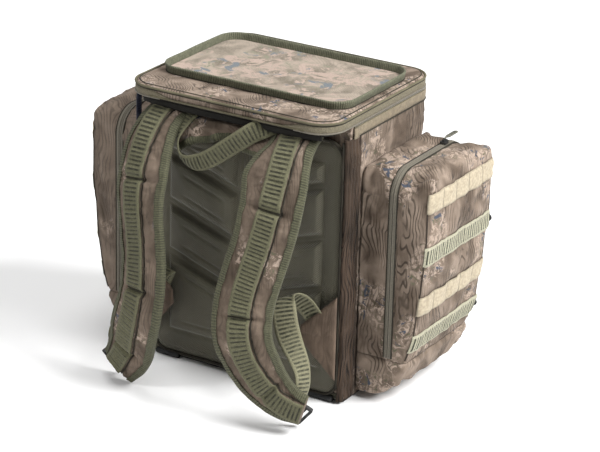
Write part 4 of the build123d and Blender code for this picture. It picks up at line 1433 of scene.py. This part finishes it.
# the wing's cushion: how much of its outline each loop has, and how far it stands out
WING_PROFILE = ((0.02, -2.6), (0.3, -2.4), (0.6, -2.3), (0.85, -2.2), (0.96, -1.8), (1.0, 0), (0.96, 2.0),
                (0.85, 3.0), (0.6, 3.8), (0.3, 4.2), (0.02, 4.3))
ADJUSTER = [((120, -75, 108), 26, (0.6, 0, 0.8)), ((108, -81, 128), 27, (0.65, 0, 0.75)),
            ((95, -95, 146), 28, (0.75, 0.1, 0.6)), ((90, -109, 149), 29, (0.85, 0.3, 0.35)),
            ((96, -121, 137), 31, (0.93, 0.36, 0)), ((108, -131, 116), 31, (0.9, 0.42, 0.1)),
            ((126, -141, 97), 28, (0.6, 0.8, 0)), ((141, -148, 75), 26, (0.15, 0.98, 0)),
            ((142, -153, 53), 26, (0.3, 0.95, 0)), ((131, -157, 36), 25, (0.8, 0.5, 0.2))]
outline = []
for (a, b), (c, d) in zip(WING, WING[1:] + WING[:1]):
    outline += [(a + (c - a) * t, b + (d - b) * t) for t in np.linspace(0, 1, 26)[:-1]]
outline = np.array(outline)
for side, label in SIDES:
    corner = np.array([side * (pad_high[0] + 2), PAD_FACE - 6, 0.0])
    inward, facing = unit(np.array([-side, -0.3, 0.0])), unit(np.array([0.3 * side, -1.0, 0.0]))
    loops = []
    for shrink, lift in WING_PROFILE:
        flat = WING_MIDDLE + (outline - WING_MIDDLE) * shrink
        spots = corner + flat[:, :1] * inward + UP * flat[:, 1:]
        wrinkle = noise(spots, 15, 111) * 0.9 + ridges(spots, 18, 112) ** 4 * 1.6
        loops.append(spots + facing * (lift + (wrinkle * (lift > 1))[:, None]))
    wing = loft(f"{label}_wing_padding", loops, CAMO_WING)
    finish_piece(wing, "pack", "camo_fabric", f"{label}_wing_tab", fill=0.4)
    stations = [(spot, wide, (side * way[0], way[1], way[2])) for spot, wide, way in ADJUSTER]
    # the right adjuster takes the lighter webbing copy, painted light, and the left takes the plain green
    # webbing
    adjuster = flat_webbing(f"{label}_adjuster_webbing", Run(stations, side, LOOSE_STEP), 1.7,
                            LIT_GREEN if side > 0 else GREEN, f"{label}_adjuster", 0.3)
    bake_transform(adjuster)


# ---------------------------------------------------------------- pullers and hardware
def paint_node(node, material):
    """Gives a CAD node that stays its finished material."""
    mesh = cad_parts[node].data
    mesh.materials.clear()
    mesh.materials.append(material)


def pull_tab(name, node, start, along, flat, length, width, body, material):
    """A tape pull: narrow where it hangs on the slider, then wider and ribbed."""
    along, flat = unit(along), unit(flat)
    t = np.linspace(0, 1, 90)
    neck, end = 0.34 + 0.66 * step_between(0.12, 0.3, t), 1 - 0.9 * step_between(0.93, 1.0, t) ** 2
    half = width / 2 * neck * end
    ribbed = step_between(0.25, 0.32, t) * step_between(0.95, 0.85, t)
    thick = 0.9 + 0.35 * ribbed * (1 + np.cos(t * length * 2 * pi / 3.2))
    sections = tube_section(1.0, 12)[None] * np.stack([half, thick], -1)[:, None]
    path, ones = np.array(start) + along * (t * length)[:, None], np.ones((len(t), 1))
    tab = sweep(name, path, ones * np.cross(flat, along), ones * flat, sections, material)
    finish_piece(tab, body, "puller_tape", node)


for node, material in (("base_board", STIFF), ("right_ladder_lock", PLASTIC), ("left_ladder_lock", PLASTIC),
                       ("lid_slider", METAL)):
    paint_node(node, material)
for label in ("right", "left", "front"):
    name = f"{label}_pocket_puller"
    paint_node(f"{label}_pocket_slider", METAL)
    low, high = node_box(name)
    middle, size = (low + high) / 2, high - low
    if label == "front":
        start, along, length, width = (high[0], middle[1], middle[2]), (-1, 0, 0), size[0], size[1]
    else:
        start, along, length, width = (middle[0], low[1], middle[2]), (0, 1, 0), size[1], size[0]
    pull_tab(f"{label}_pull", name, start, along, (0, 0, 1), length, width, f"{label}_puller", PULL)
low, high = node_box("lid_puller")
middle, size = (low + high) / 2, high - low
pull_tab("lid_pull", "lid_puller", (middle[0], middle[1], high[2]), (0, 0, -1), (-1, 0, 0), size[2], size[1],
         "lid_puller", RUBBER)

# the tan binding's folded end, and the black bumpers under the strap side of the base
BUMPER = (100, 134)
low, high = node_box("top_binding")
for side, label in SIDES:
    tab_line = np.array([(side * (wall_x + 2.4), y, 0) for y in np.linspace(low[1] - 1, low[1] + 10, 8)])
    out = facing_out(tab_line, (side, 0, 0))
    tab = band(f"{label}_binding_end", tab_line, out, low[2] - 1.5, high[2] - 1, 0, 1.6, TAN_BINDING,
               bulge=0.4)
    finish_piece(tab, "pack", "tan_webbing")
    bumper = np.array([(side * x, back_y - 5.5, 4.5) for x in np.linspace(*BUMPER, 20)])
    cord(f"{label}_base_bumper", bumper, 4.0, PLASTIC, "pack", "zip_tape", hint=(0, 1, 0), sides=12)
